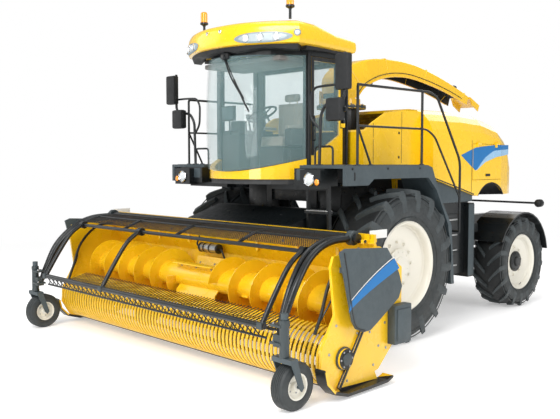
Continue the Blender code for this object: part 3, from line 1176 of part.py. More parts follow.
def gauge_wheels(lift, lift_pivot):
    """Castering gauge wheels: a fork turning in the sleeve and a wheel on the fork."""
    for name, side in SIDES:
        x, y = side * GAUGE_X, GAUGE_Y
        pivot = (x, y, 0.66)
        caster = empty(name + "_caster_axis", pivot, lift)
        stem = rod("z", (x, y), 0.019, 0.47, 0.90, 12)
        cap = rod("z", (x, y), 0.034, 0.84 + FIT_GAP, 0.90, 12)
        crown = box((x - 0.125, x + 0.125), (y - 0.04, y + 0.05), (0.455, 0.50 - FIT_GAP))
        legs = []
        for s in (-1, 1):
            legs.append(prism([(y - 0.035, 0.475), (y + 0.045, 0.475), (y + GAUGE_TRAIL + 0.03, GAUGE_R),
                               (y + GAUGE_TRAIL, GAUGE_R - 0.035), (y + GAUGE_TRAIL - 0.03, GAUGE_R)],
                              "x", x + s * 0.118 - 0.007, x + s * 0.118 + 0.007))
        pin = rod("x", (y + GAUGE_TRAIL, GAUGE_R), 0.014, x - 0.12, x + 0.12, 12)
        finish(fuse(stem, cap, crown, *legs, pin), name + "_caster_fork", "grey", caster, pivot)

        centre = (x, y + GAUGE_TRAIL, GAUGE_R)
        axle = empty(name + "_gauge_axle", centre, caster)
        half = GAUGE_W / 2
        profile = [(GAUGE_R, -half * 0.6), (GAUGE_R, half * 0.6), (GAUGE_R - 0.03, half * 0.95),
                   (0.13, half), (0.10, half * 0.3), (0.04, half * 0.3),
                   (0.04, half * 0.9), (0.0148, half * 0.9), (0.0148, -half * 0.9), (0.04, -half * 0.9),
                   (0.04, -half * 0.3), (0.10, -half * 0.3), (0.13, -half),
                   (GAUGE_R - 0.03, -half * 0.95)]
        finish(turn(profile, "x", centre, 16), name + "_gauge_wheel", "rubber", axle, centre)


def lift_cylinders(machine):
    """Header lift cylinders: barrel pinned below the front axle, rod reaching to the feed housing."""
    for name, side in SIDES:
        x = side * CYLINDER_X
        foot = Vector((x, *CYLINDER_FOOT))
        eye = Vector((x, *CYLINDER_EYE))
        ahead = (eye - foot).normalized()
        pivot = tuple(foot)
        swing = empty(name + "_cylinder_axis", pivot, machine)
        barrel = tube([foot + ahead * 0.03, foot + ahead * 0.56], 0.045, 14)
        reach = CYLINDER_EYE_W - FIT_GAP
        eye_ring = rod("x", CYLINDER_FOOT, 0.055, x - reach, x + reach, 16)
        bore = tube([foot + ahead * 0.16, foot + ahead * 0.70], 0.0240, 14)
        pin_hole = rod("x", CYLINDER_FOOT, 0.0187, x - 0.10, x + 0.10, 24)
        finish(cut(fuse(barrel, eye_ring), bore, pin_hole), name + "_lift_barrel", "black", swing, pivot)
        end = tuple(eye)
        slide = empty(name + "_cylinder_slide", end, swing)
        ram = tube([foot + ahead * 0.30, eye - ahead * 0.035], 0.0230, 14)
        tip = rod("x", CYLINDER_EYE, 0.048, x - 0.026, x + 0.026, 16)
        eye_hole = rod("x", CYLINDER_EYE, 0.030, x - 0.10, x + 0.10, 16)
        finish(cut(fuse(ram, tip), eye_hole), name + "_lift_rod", "steel", slide, end)


def main():
    for old in list(bpy.data.objects):
        bpy.data.objects.remove(old)
    machine = empty("machine", (0.0, 0.0, 0.0))
    machine.location = (0.0, CENTRE_SHIFT_Y, 0.0)
    chassis(machine)
    tanks(machine)
    wheels(machine)
    cab(machine)
    platforms(machine)
    walkways(machine)
    body(machine)
    hood(machine)
    spout(machine)
    header(machine)
    lift_cylinders(machine)


main()
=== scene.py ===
"""Looks of the forage harvester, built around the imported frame.

Metres, +Z up, front at -Y, left side at +X. The wheels, auger, reel, shields, beacons, tanks and engine are
placed by the frame's own boxes. Everything else is given as a place on the machine: across from its middle,
back from the front axle and up from the ground, which at() turns into the frame.
"""
import math

import bmesh
import bpy
from mathutils import Matrix, Vector


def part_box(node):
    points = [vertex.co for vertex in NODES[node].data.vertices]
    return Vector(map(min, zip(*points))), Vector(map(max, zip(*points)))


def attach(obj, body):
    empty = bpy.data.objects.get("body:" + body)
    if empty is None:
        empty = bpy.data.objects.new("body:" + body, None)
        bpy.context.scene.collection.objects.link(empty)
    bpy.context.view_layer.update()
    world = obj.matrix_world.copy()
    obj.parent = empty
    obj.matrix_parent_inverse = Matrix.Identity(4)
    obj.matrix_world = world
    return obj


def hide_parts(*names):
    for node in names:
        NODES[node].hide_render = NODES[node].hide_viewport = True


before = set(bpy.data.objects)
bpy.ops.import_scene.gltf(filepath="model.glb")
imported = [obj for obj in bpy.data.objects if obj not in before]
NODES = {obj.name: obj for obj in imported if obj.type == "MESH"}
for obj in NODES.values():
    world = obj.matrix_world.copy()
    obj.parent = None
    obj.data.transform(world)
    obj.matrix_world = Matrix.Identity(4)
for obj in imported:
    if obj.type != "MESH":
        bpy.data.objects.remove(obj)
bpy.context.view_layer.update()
SIDES = (("left", 1), ("right", -1))


def middle(node):
    """Middle of a node's box."""
    low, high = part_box(node)
    return (low + high) / 2


AXLE = middle("front_left_wheel")          # the front axle line and its height
AUGER = middle("auger")
REEL = middle("pickup_reel")
HEADER_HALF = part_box("header_trough")[1].x     # half of the trough's width


def at(x, y, z):
    """A point given with y measured back from the front axle."""
    return Vector((x, y + AXLE.y, z))


SPOUT_Y = 0.62                             # the spout's turret, behind the front axle
AUGER_PITCH = 0.36
HOOD_ARCH = (2.62, 1.45)                   # middle of the hood's wheel arch: back, up
BEAM_Y, BEAM_Z = -1.76, 1.48               # the header's top beam
RAIL_Y, RAIL_Z = BEAM_Y - 0.56, BEAM_Z - 0.10    # the bar that the windguard hangs on
PRESS_Y, PRESS_Z = -2.88, 0.74             # the windguard's front bar
CAMERA_PLACE = (7.048, -7.507, 2.259)      # y measured from the front axle
CAMERA_DOWN = 3.772                        # degrees below the horizon
CAMERA_TURN = 45.591                       # degrees about the upright
CAMERA_LENS = 48.01                        # mm
LIGHTS = (("key", (4.0, -10.0, 9.0), 6.0, 900.0), ("fill", (-10.0, -7.0, 6.0), 8.0, 220.0),
          ("side", (11.0, 1.0, 6.0), 6.0, 420.0), ("back", (-3.0, 11.0, 8.0), 8.0, 300.0),
          ("top", (0.0, 0.0, 12.0), 8.0, 400.0), ("low", (3.5, -11.0, 3.0), 4.0, 260.0))


# ---------------------------------------------------------------- materials
YELLOW = (0.93, 0.56, 0.007)
CREAM = (0.78, 0.75, 0.66)
CHARCOAL = (0.030, 0.042, 0.046)
SLATE = (0.048, 0.066, 0.075)
BLACK = (0.005, 0.007, 0.008)
RUBBER = (0.019, 0.024, 0.026)
DECAL_BLUE = (0.0, 0.15, 0.42)


class Shader:
    """Small helper that builds one node material."""

    def __init__(self, name, colour, rough, metal=0.0):
        self.made = bpy.data.materials.new(name)
        self.made.use_nodes = True
        self.tree = self.made.node_tree
        self.shader = self.tree.nodes["Principled BSDF"]
        self.shader.inputs["Base Color"].default_value = (*colour, 1.0)
        self.shader.inputs["Roughness"].default_value = rough
        self.shader.inputs["Metallic"].default_value = metal
        self.colour = colour
        self.place = self.tree.nodes.new("ShaderNodeTexCoord").outputs["Object"]
        self.height = None

    def node(self, kind, **inputs):
        """New node with values or links for its inputs."""
        made = self.tree.nodes.new(kind)
        for name, value in inputs.items():
            self.feed(made, name.replace("_", " "), value)
        return made

    def feed(self, node, name, value):
        """Link or set one input."""
        socket = node.inputs[name]
        if isinstance(value, bpy.types.NodeSocket):
            self.tree.links.new(value, socket)
        else:
            socket.default_value = value

    def noise(self, scale, detail=3.0, rough=0.55):
        """Noise in the piece's own space."""
        return self.node("ShaderNodeTexNoise", Vector=self.place, Scale=scale, Detail=detail,
                         Roughness=rough).outputs["Fac"]

    def spread(self, value, low, high, start=0.3, end=0.7):
        """Map a value from a start-end band onto low-high."""
        made = self.node("ShaderNodeMapRange", Value=value)
        made.inputs["From Min"].default_value = start
        made.inputs["From Max"].default_value = end
        made.inputs["To Min"].default_value = low
        made.inputs["To Max"].default_value = high
        return made.outputs["Result"]

    def tint(self, factor, other):
        """Blend the base colour towards another colour by a factor."""
        mix = self.tree.nodes.new("ShaderNodeMix")
        mix.data_type = "RGBA"
        self.tree.links.new(factor, mix.inputs["Factor"])
        base = self.shader.inputs["Base Color"]
        if base.is_linked:
            self.tree.links.new(base.links[0].from_socket, mix.inputs["A"])
        else:
            mix.inputs["A"].default_value = base.default_value
        mix.inputs["B"].default_value = (*other, 1.0)
        self.tree.links.new(mix.outputs["Result"], base)

    def vary_rough(self, scale, low, high):
        """Patchy roughness between two values."""
        value = self.spread(self.noise(scale, 5.0), low, high)
        self.tree.links.new(value, self.shader.inputs["Roughness"])

    def bump(self, height, distance, strength=1.0):
        """Add one more layer of bump."""
        made = self.node("ShaderNodeBump", Height=height, Distance=distance, Strength=strength)
        if self.height is not None:
            self.tree.links.new(self.height, made.inputs["Normal"])
        self.height = made.outputs["Normal"]
        self.tree.links.new(self.height, self.shader.inputs["Normal"])

    def dust(self, top, amount, colour=(0.42, 0.37, 0.28)):
        """Dry dust that fades out upwards."""
        place = self.node("ShaderNodeSeparateXYZ", Vector=self.place).outputs["Z"]
        low = self.spread(place, amount, 0.0, 0.0, top)
        patch = self.spread(self.noise(5.0, 6.0), 0.3, 1.0)
        both = self.node("ShaderNodeMath")
        both.operation = "MULTIPLY"
        self.tree.links.new(low, both.inputs[0])
        self.tree.links.new(patch, both.inputs[1])
        self.tint(both.outputs[0], colour)


def shade(colour, factor):
    """Darker or lighter colour."""
    return tuple(min(1.0, c * factor) for c in colour)


def paint(name, colour, rough=(0.2, 0.32), coat=0.5, dust=0.06):
    """Gloss paint with faint clouding, orange peel and a little dust low down."""
    made = Shader(name, colour, rough[0])
    made.tint(made.spread(made.noise(1.2, 2.0), 0.0, 0.35), shade(colour, 0.93))
    made.tint(made.spread(made.noise(24.0, 4.0), 0.0, 0.15), shade(colour, 1.08))
    made.vary_rough(6.0, *rough)
    made.bump(made.noise(260.0, 2.0), 0.0003, 0.15)
    made.bump(made.noise(2.0, 1.0), 0.002, 0.15)
    made.shader.inputs["Coat Weight"].default_value = coat
    made.shader.inputs["Coat Roughness"].default_value = 0.06
    if dust:
        made.dust(1.2, dust)
    return made.made


def plastic(name, colour, rough=(0.45, 0.65), grain=420.0, depth=0.0008, dust=0.03):
    """Moulded plastic or satin black paint with a fine grain."""
    made = Shader(name, colour, rough[0])
    made.tint(made.spread(made.noise(4.0, 4.0), 0.0, 0.45), shade(colour, 1.5))
    made.tint(made.spread(made.noise(40.0, 3.0), 0.0, 0.3), shade(colour, 0.7))
    made.vary_rough(14.0, *rough)
    made.bump(made.noise(grain, 2.0), depth, 0.5)
    if dust:
        made.dust(1.5, dust)
    return made.made


def metal(name, colour, rough):
    """Bare or plated steel with light scratches."""
    made = Shader(name, colour, rough[0], 1.0)
    made.tint(made.spread(made.noise(8.0, 5.0), 0.0, 0.5), shade(colour, 0.75))
    made.vary_rough(22.0, *rough)
    made.bump(made.noise(160.0, 4.0), 0.0004, 0.4)
    return made.made


def rubber(name, colour, dust=0.07):
    """Tyre rubber: matt, slightly mottled, dusty between the lugs."""
    made = Shader(name, colour, 0.75)
    made.tint(made.spread(made.noise(6.0, 6.0), 0.0, 0.55), shade(colour, 2.1))
    made.tint(made.spread(made.noise(60.0, 4.0), 0.0, 0.35), shade(colour, 0.6))
    made.vary_rough(18.0, 0.46, 0.72)
    made.bump(made.noise(140.0, 4.0), 0.0018, 0.5)
    made.dust(2.0, dust, (0.24, 0.22, 0.18))
    return made.made


def glass(name, colour, alpha):
    """Thin tinted pane: mostly see-through, with a clear gloss."""
    made = Shader(name, colour, 0.03)
    made.shader.inputs["Alpha"].default_value = alpha
    made.shader.inputs["IOR"].default_value = 1.45
    made.shader.inputs["Coat Weight"].default_value = 1.0
    made.shader.inputs["Coat Roughness"].default_value = 0.02
    made.tint(made.spread(made.noise(1.4, 2.0), 0.0, 0.35), shade(colour, 1.12))
    made.bump(made.noise(1.2, 1.0), 0.002, 0.3)
    return made.made


def lens(name, colour, rough=0.12, glow=0.0):
    """Lamp lens with a moulded prism pattern."""
    made = Shader(name, colour, rough)
    made.tint(made.spread(made.noise(30.0, 2.0), 0.0, 0.3), shade(colour, 0.8))
    wave = made.node("ShaderNodeTexWave", Vector=made.place, Scale=40.0)
    made.bump(wave.outputs["Fac"], 0.0006, 0.2)
    made.shader.inputs["Coat Weight"].default_value = 1.0
    made.shader.inputs["Coat Roughness"].default_value = 0.03
    if glow:
        made.shader.inputs["Emission Color"].default_value = (*colour, 1.0)
        made.shader.inputs["Emission Strength"].default_value = glow
    return made.made


def cloth(name, colour):
    """Woven seat cloth with a soft sheen."""
    made = Shader(name, colour, 0.9)
    weave = made.node("ShaderNodeTexVoronoi", Vector=made.place, Scale=380.0).outputs["Distance"]
    made.tint(made.spread(weave, 0.0, 0.6, 0.0, 0.6), shade(colour, 0.55))
    made.tint(made.spread(made.noise(12.0, 4.0), 0.0, 0.4), shade(colour, 1.25))
    made.bump(weave, 0.0012, 0.8)
    made.shader.inputs["Sheen Weight"].default_value = 0.35
    return made.made


def tread_plate(name, colour):
    """Walkway skin with a raised pattern."""
    made = Shader(name, colour, 0.5)
    brick = made.node("ShaderNodeTexChecker", Vector=made.place, Scale=34.0).outputs["Fac"]
    made.tint(made.spread(made.noise(5.0, 4.0), 0.0, 0.5), shade(colour, 1.5))
    made.vary_rough(12.0, 0.4, 0.65)
    made.bump(brick, 0.0015, 0.35)
    made.bump(made.noise(300.0, 2.0), 0.0008, 0.4)
    return made.made


PALE_BLUE = (0.30, 0.52, 0.74)

MATS = {
    "yellow": paint("yellow_gloss_paint", YELLOW),
    "yellow_deep": paint("header_yellow_paint", YELLOW, (0.22, 0.36), 0.35, 0.10),
    "cream": paint("cream_wheel_paint", CREAM, (0.3, 0.42), 0.2, 0.05),
    "white": paint("white_plate_paint", (0.82, 0.82, 0.80), (0.3, 0.4), 0.3, 0.0),
    "blue": paint("blue_decal_film", DECAL_BLUE, (0.4, 0.5), 0.0, 0.0),
    "sky": paint("pale_blue_decal_film", PALE_BLUE, (0.2, 0.3), 0.4, 0.0),
    "slate": plastic("slate_grey_plastic", SLATE),
    "bezel": plastic("blue_grey_lamp_bezel", (0.23, 0.29, 0.32), (0.3, 0.45), 500.0, 0.0003, 0.0),
    "pale": plastic("pale_grey_plastic", (0.40, 0.46, 0.48), (0.3, 0.45), 500.0, 0.0003, 0.0),
    "charcoal": plastic("charcoal_frame_paint", CHARCOAL, (0.35, 0.5), 260.0, 0.0005),
    "black": plastic("satin_black_paint", BLACK, (0.26, 0.42), 240.0, 0.0005, 0.02),
    "matt": plastic("matt_black_plastic", (0.005, 0.006, 0.007), (0.5, 0.7)),
    "walk": tread_plate("walkway_grip_skin", SLATE),
    "rubber": rubber("tyre_rubber", RUBBER),
    # Lug faces: the tyre rubber made lighter, a painted highlight on the lug tops.
    "lug": rubber("tyre_lug_painted_highlight", shade(RUBBER, 1.7)),
    # Tread channel: the tyre rubber made darker, painted shade between the lugs.
    "channel": rubber("tyre_channel_painted_shade", shade(RUBBER, 0.3), 0.02),
    "hose": rubber("hose_rubber", (0.014, 0.015, 0.016), 0.05),
    "steel": metal("worn_steel", (0.42, 0.43, 0.44), (0.3, 0.5)),
    "chrome": metal("bright_plating", (0.82, 0.83, 0.84), (0.05, 0.14)),
    "bare": metal("galvanised_steel", (0.62, 0.63, 0.62), (0.3, 0.48)),
    "glass": glass("windscreen_glass", (0.36, 0.56, 0.57), 0.15),
    "pane": glass("side_window_glass", (0.32, 0.50, 0.52), 0.17),
    "mirror": metal("mirror_glass", (0.75, 0.80, 0.82), (0.02, 0.05)),
    "amber": lens("amber_lens", (0.90, 0.30, 0.01), 0.12, 0.25),
    "red": lens("red_tail_lens", (0.55, 0.01, 0.01)),
    "clear": lens("clear_headlamp_lens", (0.66, 0.70, 0.72), 0.16, 0.1),
    "seat": cloth("seat_cloth", (0.36, 0.33, 0.28)),
    "trim": plastic("cab_trim_plastic", (0.16, 0.155, 0.145), (0.55, 0.75), 600.0, 0.0006, 0.0),
    "dark_trim": plastic("dark_console_plastic", (0.03, 0.032, 0.034), (0.5, 0.7), 600.0, 0.0006, 0.0),
}


# ---------------------------------------------------------------- mesh helpers
class Kit:
    """Collects shapes of several materials into one named piece."""

    def __init__(self, name):
        self.name = name
        self.shape = bmesh.new()
        self.slots = []

    def slot(self, mat):
        """Number of a material among those the piece uses."""
        if mat not in self.slots:
            self.slots.append(mat)
        return self.slots.index(mat)

    def add(self, verts, faces, mat, smooth=True):
        """Add faces of one material."""
        index = self.slot(mat)
        made = [self.shape.verts.new(v) for v in verts]
        for face in faces:
            try:
                new = self.shape.faces.new([made[i] for i in face])
            except ValueError:
                continue
            new.material_index = index
            new.smooth = smooth

    def grid(self, rows, mat, closed=False, capped=False, smooth=True):
        """Skin through equal rows of points; closed joins each row's ends."""
        count = len(rows[0])
        verts = [p for row in rows for p in row]
        faces = []
        across = count if closed else count - 1
        for r in range(len(rows) - 1):
            for k in range(across):
                nxt = (k + 1) % count
                faces.append((r * count + k, r * count + nxt, (r + 1) * count + nxt, (r + 1) * count + k))
        if capped:
            faces.append(tuple(range(count - 1, -1, -1)))
            faces.append(tuple(range((len(rows) - 1) * count, len(rows) * count)))
        self.add(verts, faces, mat, smooth)

    def box(self, low, high, mat, edge=0.004, turn=None):
        """Box between two corners with chamfered edges."""
        low, high = Vector(low), Vector(high)
        small = Vector((min(low[i], high[i]) for i in range(3)))
        large = Vector((max(low[i], high[i]) for i in range(3)))
        edge = min(edge, min(large - small) * 0.3)
        part = bmesh.new()
        bmesh.ops.create_cube(part, size=1.0)
        size = large - small
        place = Matrix.Translation((small + large) / 2) @ (turn or Matrix.Identity(4))
        bmesh.ops.transform(part, matrix=place @ Matrix.Diagonal((*size, 1.0)), verts=part.verts)
        if edge > 0:
            bmesh.ops.bevel(part, geom=part.edges[:], offset=edge, segments=2, profile=0.6,
                            affect="EDGES", clamp_overlap=True)
        self.take(part, mat)

    def take(self, part, mat):
        """Move a finished part into the piece."""
        part.verts.ensure_lookup_table()
        verts = [v.co.copy() for v in part.verts]
        faces = [[v.index for v in f.verts] for f in part.faces]
        part.free()
        self.add(verts, faces, mat)

    def lathe(self, profile, centre, axis, mat, steps=48, closed=True):
        """Profile of (radius, along) turned about an axis; closed joins the profile's ends."""
        along = Vector(axis).normalized()
        side = along.orthogonal().normalized()
        if abs(along.x) > 0.9:
            side = Vector((0, 1, 0))
        up = along.cross(side)
        rows = []
        for i in range(steps):
            angle = math.radians(360.0 * i / steps)
            arm = side * math.cos(angle) + up * math.sin(angle)
            rows.append([Vector(centre) + arm * r + along * d for r, d in profile])
        rows.append([p.copy() for p in rows[0]])
        self.grid(rows, mat, closed=closed)

    def disc(self, radius, depth, centre, axis, mat, steps=32, round_off=0.15):
        """Button with rounded rim that stands on its centre point, along its axis."""
        lip = min(depth, radius) * round_off
        self.lathe([(0.0, 0.0), (radius, 0.0), (radius, depth - lip), (radius - lip * 0.3, depth - lip * 0.3),
                    (radius - lip, depth), (0.0, depth)], centre, axis, mat, steps, closed=False)

    def tube(self, points, radius, mat, sides=10, smooth_path=True, per=6):
        """Round bar along a path, its corners rounded by a spline."""
        path = spline(points, per) if smooth_path else [Vector(p) for p in points]
        rows = sweep_rings(path, circle(sides, radius))
        self.grid(rows, mat, closed=True, capped=True)

    def rod(self, start, end, radius, mat, sides=10):
        """Straight round bar."""
        self.tube([start, end], radius, mat, sides, False)

    def across(self, reach, y, z, radius, mat, sides):
        """Straight bar from side to side of the machine."""
        self.rod(at(-reach, y, z), at(reach, y, z), radius, mat, sides)

    def turned(self, profile, centre, axis, mat, steps=48):
        """Lathe work whose profile is left open, as it starts or ends on the axis."""
        self.lathe(profile, centre, axis, mat, steps, closed=False)

    def plate(self, outline, low, high, mat):
        """Flat outline of (y, z) points made solid from x = low to x = high."""
        part = bmesh.new()
        face = part.faces.new([part.verts.new((low, y, z)) for y, z in outline])
        grown = bmesh.ops.extrude_face_region(part, geom=[face])
        moved = [g for g in grown["geom"] if isinstance(g, bmesh.types.BMVert)]
        bmesh.ops.translate(part, verts=moved, vec=(high - low, 0, 0))
        bmesh.ops.recalc_face_normals(part, faces=part.faces)
        self.take(part, mat)

    def bolt(self, centre, axis, mat, radius=0.011, height=0.009):
        """Hexagon head on a washer."""
        self.disc(radius * 1.5, height * 0.3, centre, axis, mat, 16)
        along = Vector(axis).normalized()
        self.lathe([(0.0, height), (radius * 0.9, height), (radius, height * 0.85), (radius, 0.0)],
                   Vector(centre) + along * height * 0.3, axis, mat, 6, closed=False)

    def done(self, body, slot=None, replaces=(), sharp=40.0):
        """Make the object, let it ride on its body and stand for its CAD nodes."""
        bmesh.ops.recalc_face_normals(self.shape, faces=self.shape.faces)
        mesh = bpy.data.meshes.new(self.name)
        self.shape.to_mesh(mesh)
        self.shape.free()
        for mat in self.slots:
            mesh.materials.append(MATS[mat])
        made = bpy.data.objects.new(self.name, mesh)
        bpy.context.scene.collection.objects.link(made)
        mesh.set_sharp_from_angle(angle=math.radians(sharp))
        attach(made, body)
        if replaces:
            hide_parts(*replaces)


def spline(points, per=6):
    """Catmull-Rom curve through points."""
    line = [Vector(p) for p in points]
    if len(line) < 3:
        return line
    out = []
    padded = [line[0] * 2 - line[1]] + line + [line[-1] * 2 - line[-2]]
    for i in range(1, len(padded) - 2):
        a, b, c, d = padded[i - 1:i + 3]
        for k in range(per):
            t = k / per
            out.append(0.5 * ((2 * b) + (c - a) * t + (2 * a - 5 * b + 4 * c - d) * t * t
                              + (3 * b - a - 3 * c + d) * t ** 3))
    out.append(line[-1])
    return out


def rounded(points, radius, steps=4):
    """Path whose inner corners are turned into short arcs."""
    line = [Vector(p) for p in points]
    out = [line[0]]
    for i in range(1, len(line) - 1):
        before, here, after = line[i - 1], line[i], line[i + 1]
        reach = min(radius, (here - before).length * 0.45, (after - here).length * 0.45)
        a = here + (before - here).normalized() * reach
        b = here + (after - here).normalized() * reach
        for k in range(steps + 1):
            t = k / steps
            out.append(a * (1 - t) ** 2 + here * 2 * t * (1 - t) + b * t * t)
    out.append(line[-1])
    return out


def sweep_rings(path, section):
    """Rings of a section carried along a path without twisting."""
    rings = []
    side = None
    for i, point in enumerate(path):
        before = (point - path[i - 1]) if i else (path[1] - point)
        after = (path[i + 1] - point) if i < len(path) - 1 else before
        ahead = (before.normalized() + after.normalized()).normalized()
        if side is None:
            guide = Vector((1, 0, 0)) if abs(ahead.x) < 0.8 else Vector((0, 1, 0))
            side = guide.cross(ahead).normalized()
        side = (side - ahead * side.dot(ahead)).normalized()
        up = ahead.cross(side)
        rings.append([point + side * u + up * v for u, v in section])
    return rings


def circle(count, radius, turn=0.0):
    """Points spaced evenly round a circle."""
    angles = [2 * math.pi * n / count + turn for n in range(count)]
    return [(radius * math.cos(angle), radius * math.sin(angle)) for angle in angles]


def arc(centre, radius, start, end, count):
    """Arc of 2-D points, angles in degrees."""
    out = []
    for i in range(count):
        angle = math.radians(start + (end - start) * i / (count - 1))
        out.append((centre[0] + radius * math.cos(angle), centre[1] + radius * math.sin(angle)))
    return out


def flip(side, points):
    """Points moved to one side of the machine."""
    return [at(side * x, y, z) for x, y, z in points]


def dress(mat, *nodes):
    """Give carried-over CAD nodes a finished material and soft shading."""
    for name in nodes:
        data = NODES[name].data
        data.materials.clear()
        data.materials.append(MATS[mat])
        for face in data.polygons:
            face.material_index = 0
        data.shade_smooth()
        data.set_sharp_from_angle(angle=math.radians(32))


def dress_part(node, mat, test):
    """Give one material to the faces of a CAD node whose middle passes a test."""
    data = NODES[node].data
    data.materials.append(MATS[mat])
    for face in data.polygons:
        if test(face.center):
            face.material_index = len(data.materials) - 1


# ---------------------------------------------------------------- wheels
def lugs(kit, centre, side, radius, half, count, height, width, lean, drop):
    """Chevron bars: each runs from near the middle of the tread over the shoulder."""
    base = radius - height
    for half_side in (1, -1):
        for n in range(count):
            start = 2 * math.pi * (n + (0.5 if half_side < 0 else 0.0)) / count
            rows = []
            for k in range(9):
                t = k / 8
                x = half_side * (0.03 + (half - 0.03) * min(1.0, t / 0.8))
                angle = start + side * lean * min(1.0, t / 0.8) ** 0.9
                past = max(0.0, t - 0.8) / 0.2
                outer = radius - 0.012 * (t / 0.8 if t < 0.8 else 1.0) ** 4 - drop * past
                inner = base - 0.03 * (t / 0.8 if t < 0.8 else 1.0) ** 3 - drop * past
                wide = width * (0.42 + 0.30 * t)
                top = width * (0.26 + 0.24 * t)
                ring = []
                for r, w in ((inner, -wide), (outer, -top), (outer, top), (inner, wide)):
                    turn = angle + w / radius
                    ring.append(Vector((centre.x + x * (1.0 + 0.02 * past), centre.y - r * math.cos(turn),
                                        centre.z + r * math.sin(turn))))
                rows.append(ring)
            # The lug faces take the lighter rubber: a painted highlight.
            kit.grid(rows, "lug", closed=True, capped=True, smooth=False)


def wheel(node, side, rim, disc_x, count, lean, bolts):
    """Lugged tyre on a cream rim and dished disc."""
    kit = Kit("detail_" + node)
    centre = middle(node)
    radius = centre.z
    low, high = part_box(node)
    half = (high.x - low.x) / 2
    out = Vector((side, 0, 0))
    lug = radius * 0.058
    hub_mat = "cream" if bolts > 9 else "black"
    wall = radius - rim

    def lathe(profile, mat, steps=96):
        kit.lathe(profile, centre, out, mat, steps)

    carcass = []
    for sign in (-1, 1):
        wallpoints = [(rim + 0.012, 0.80), (rim + wall * 0.10, 0.90), (rim + wall * 0.28, 0.985),
                      (rim + wall * 0.45, 1.0), (rim + wall * 0.62, 0.975), (rim + wall * 0.76, 0.94),
                      (radius - lug - 0.035, 0.885), (radius - lug - 0.012, 0.80)]
        points = [(r, sign * half * u) for r, u in wallpoints]
        carcass += points if sign < 0 else list(reversed(points))
        if sign < 0:
            carcass += [(radius - lug, -half * 0.5), (radius - lug + 0.004, 0.0), (radius - lug, half * 0.5)]
    inner = [(rim + 0.004, half * 0.6), (rim + 0.004, -half * 0.6)]
    lathe(carcass + inner, "rubber")
    for r, u, h in ((0.86, 0.90, 0.006), (0.66, 0.972, 0.005), (0.16, 0.935, 0.008)):
        at_r = rim + wall * r
        for sign in (-1, 1):
            x = sign * half * u
            lathe([(at_r - 0.008, x), (at_r - 0.004, x + sign * h), (at_r + 0.004, x + sign * h),
                   (at_r + 0.008, x)], "rubber")
    # A thin layer of darker rubber on the tread between the lugs: painted shade.
    channel = [(-0.030, 0.885), (-0.009, 0.80), (0.003, 0.5), (0.007, 0.0)]
    channel += [(deep, -u) for deep, u in reversed(channel[:-1])]
    lathe([(radius - lug + deep, half * u) for deep, u in channel], "channel")
    lugs(kit, centre, side, radius, half * 0.98, count, lug + 0.004, radius * 0.095, lean, wall * 0.44)

    flange = half * 0.80
    lathe([(rim + 0.018, flange), (rim + 0.022, flange + 0.012), (rim + 0.008, flange + 0.02),
           (rim - 0.012, flange + 0.008), (rim - 0.03, flange - 0.02), (rim - 0.034, disc_x + 0.05),
           (rim - 0.055, disc_x + 0.028), (rim - 0.06, disc_x + 0.012), (rim - 0.03, disc_x + 0.010),
           (rim - 0.022, -flange * 0.6), (rim - 0.01, -flange - 0.012), (rim + 0.018, -flange),
           (rim + 0.006, -flange * 0.6), (rim + 0.006, flange * 0.5)], "cream")
    disc = [(rim - 0.055, disc_x + 0.030), (rim - 0.10, disc_x + 0.012), (rim * 0.66, disc_x - 0.004),
            (rim * 0.60, disc_x - 0.012), (rim * 0.46, disc_x - 0.010), (rim * 0.40, disc_x + 0.004),
            (rim * 0.38, disc_x + 0.006)]
    back = [(r, x - 0.02) for r, x in reversed(disc)]
    lathe(disc + back, "cream")
    kit.turned([(rim * 0.385, disc_x - 0.02), (rim * 0.385, disc_x + 0.03), (rim * 0.36, disc_x + 0.04),
                (rim * 0.30, disc_x + 0.046), (rim * 0.20, disc_x + 0.05), (rim * 0.19, disc_x + 0.066),
                (rim * 0.16, disc_x + 0.074), (0.0, disc_x + 0.076)], centre, out,
               hub_mat, 64)
    for nut, screw in zip(circle(bolts, rim * 0.53), circle(bolts, rim * 0.31, 0.2)):
        kit.bolt(centre + Vector((side * (disc_x - 0.010), *nut)), out, "cream", 0.016, 0.02)
        kit.bolt(centre + Vector((side * (disc_x + 0.043), *screw)), out, hub_mat, 0.009, 0.008)
    valve = centre + Vector((side * (flange - 0.01), 0, -rim + 0.05))
    kit.tube([valve, valve + out * 0.02 + Vector((0, 0, 0.015)), valve + out * 0.03 + Vector((0, 0, 0.035))],
             0.005, "black", 8)
    kit.done(node, "rubber", (node,), 30)


def wheels():
    """The four driven and steered wheels: rim radius, disc place, lugs a side, their lean, bolts."""
    for name, side in SIDES:
        wheel(f"front_{name}_wheel", side, 0.54, 0.12, 17, 0.30, 12)
        wheel(f"rear_{name}_wheel", side, 0.405, 0.10, 17, 0.32, 8)


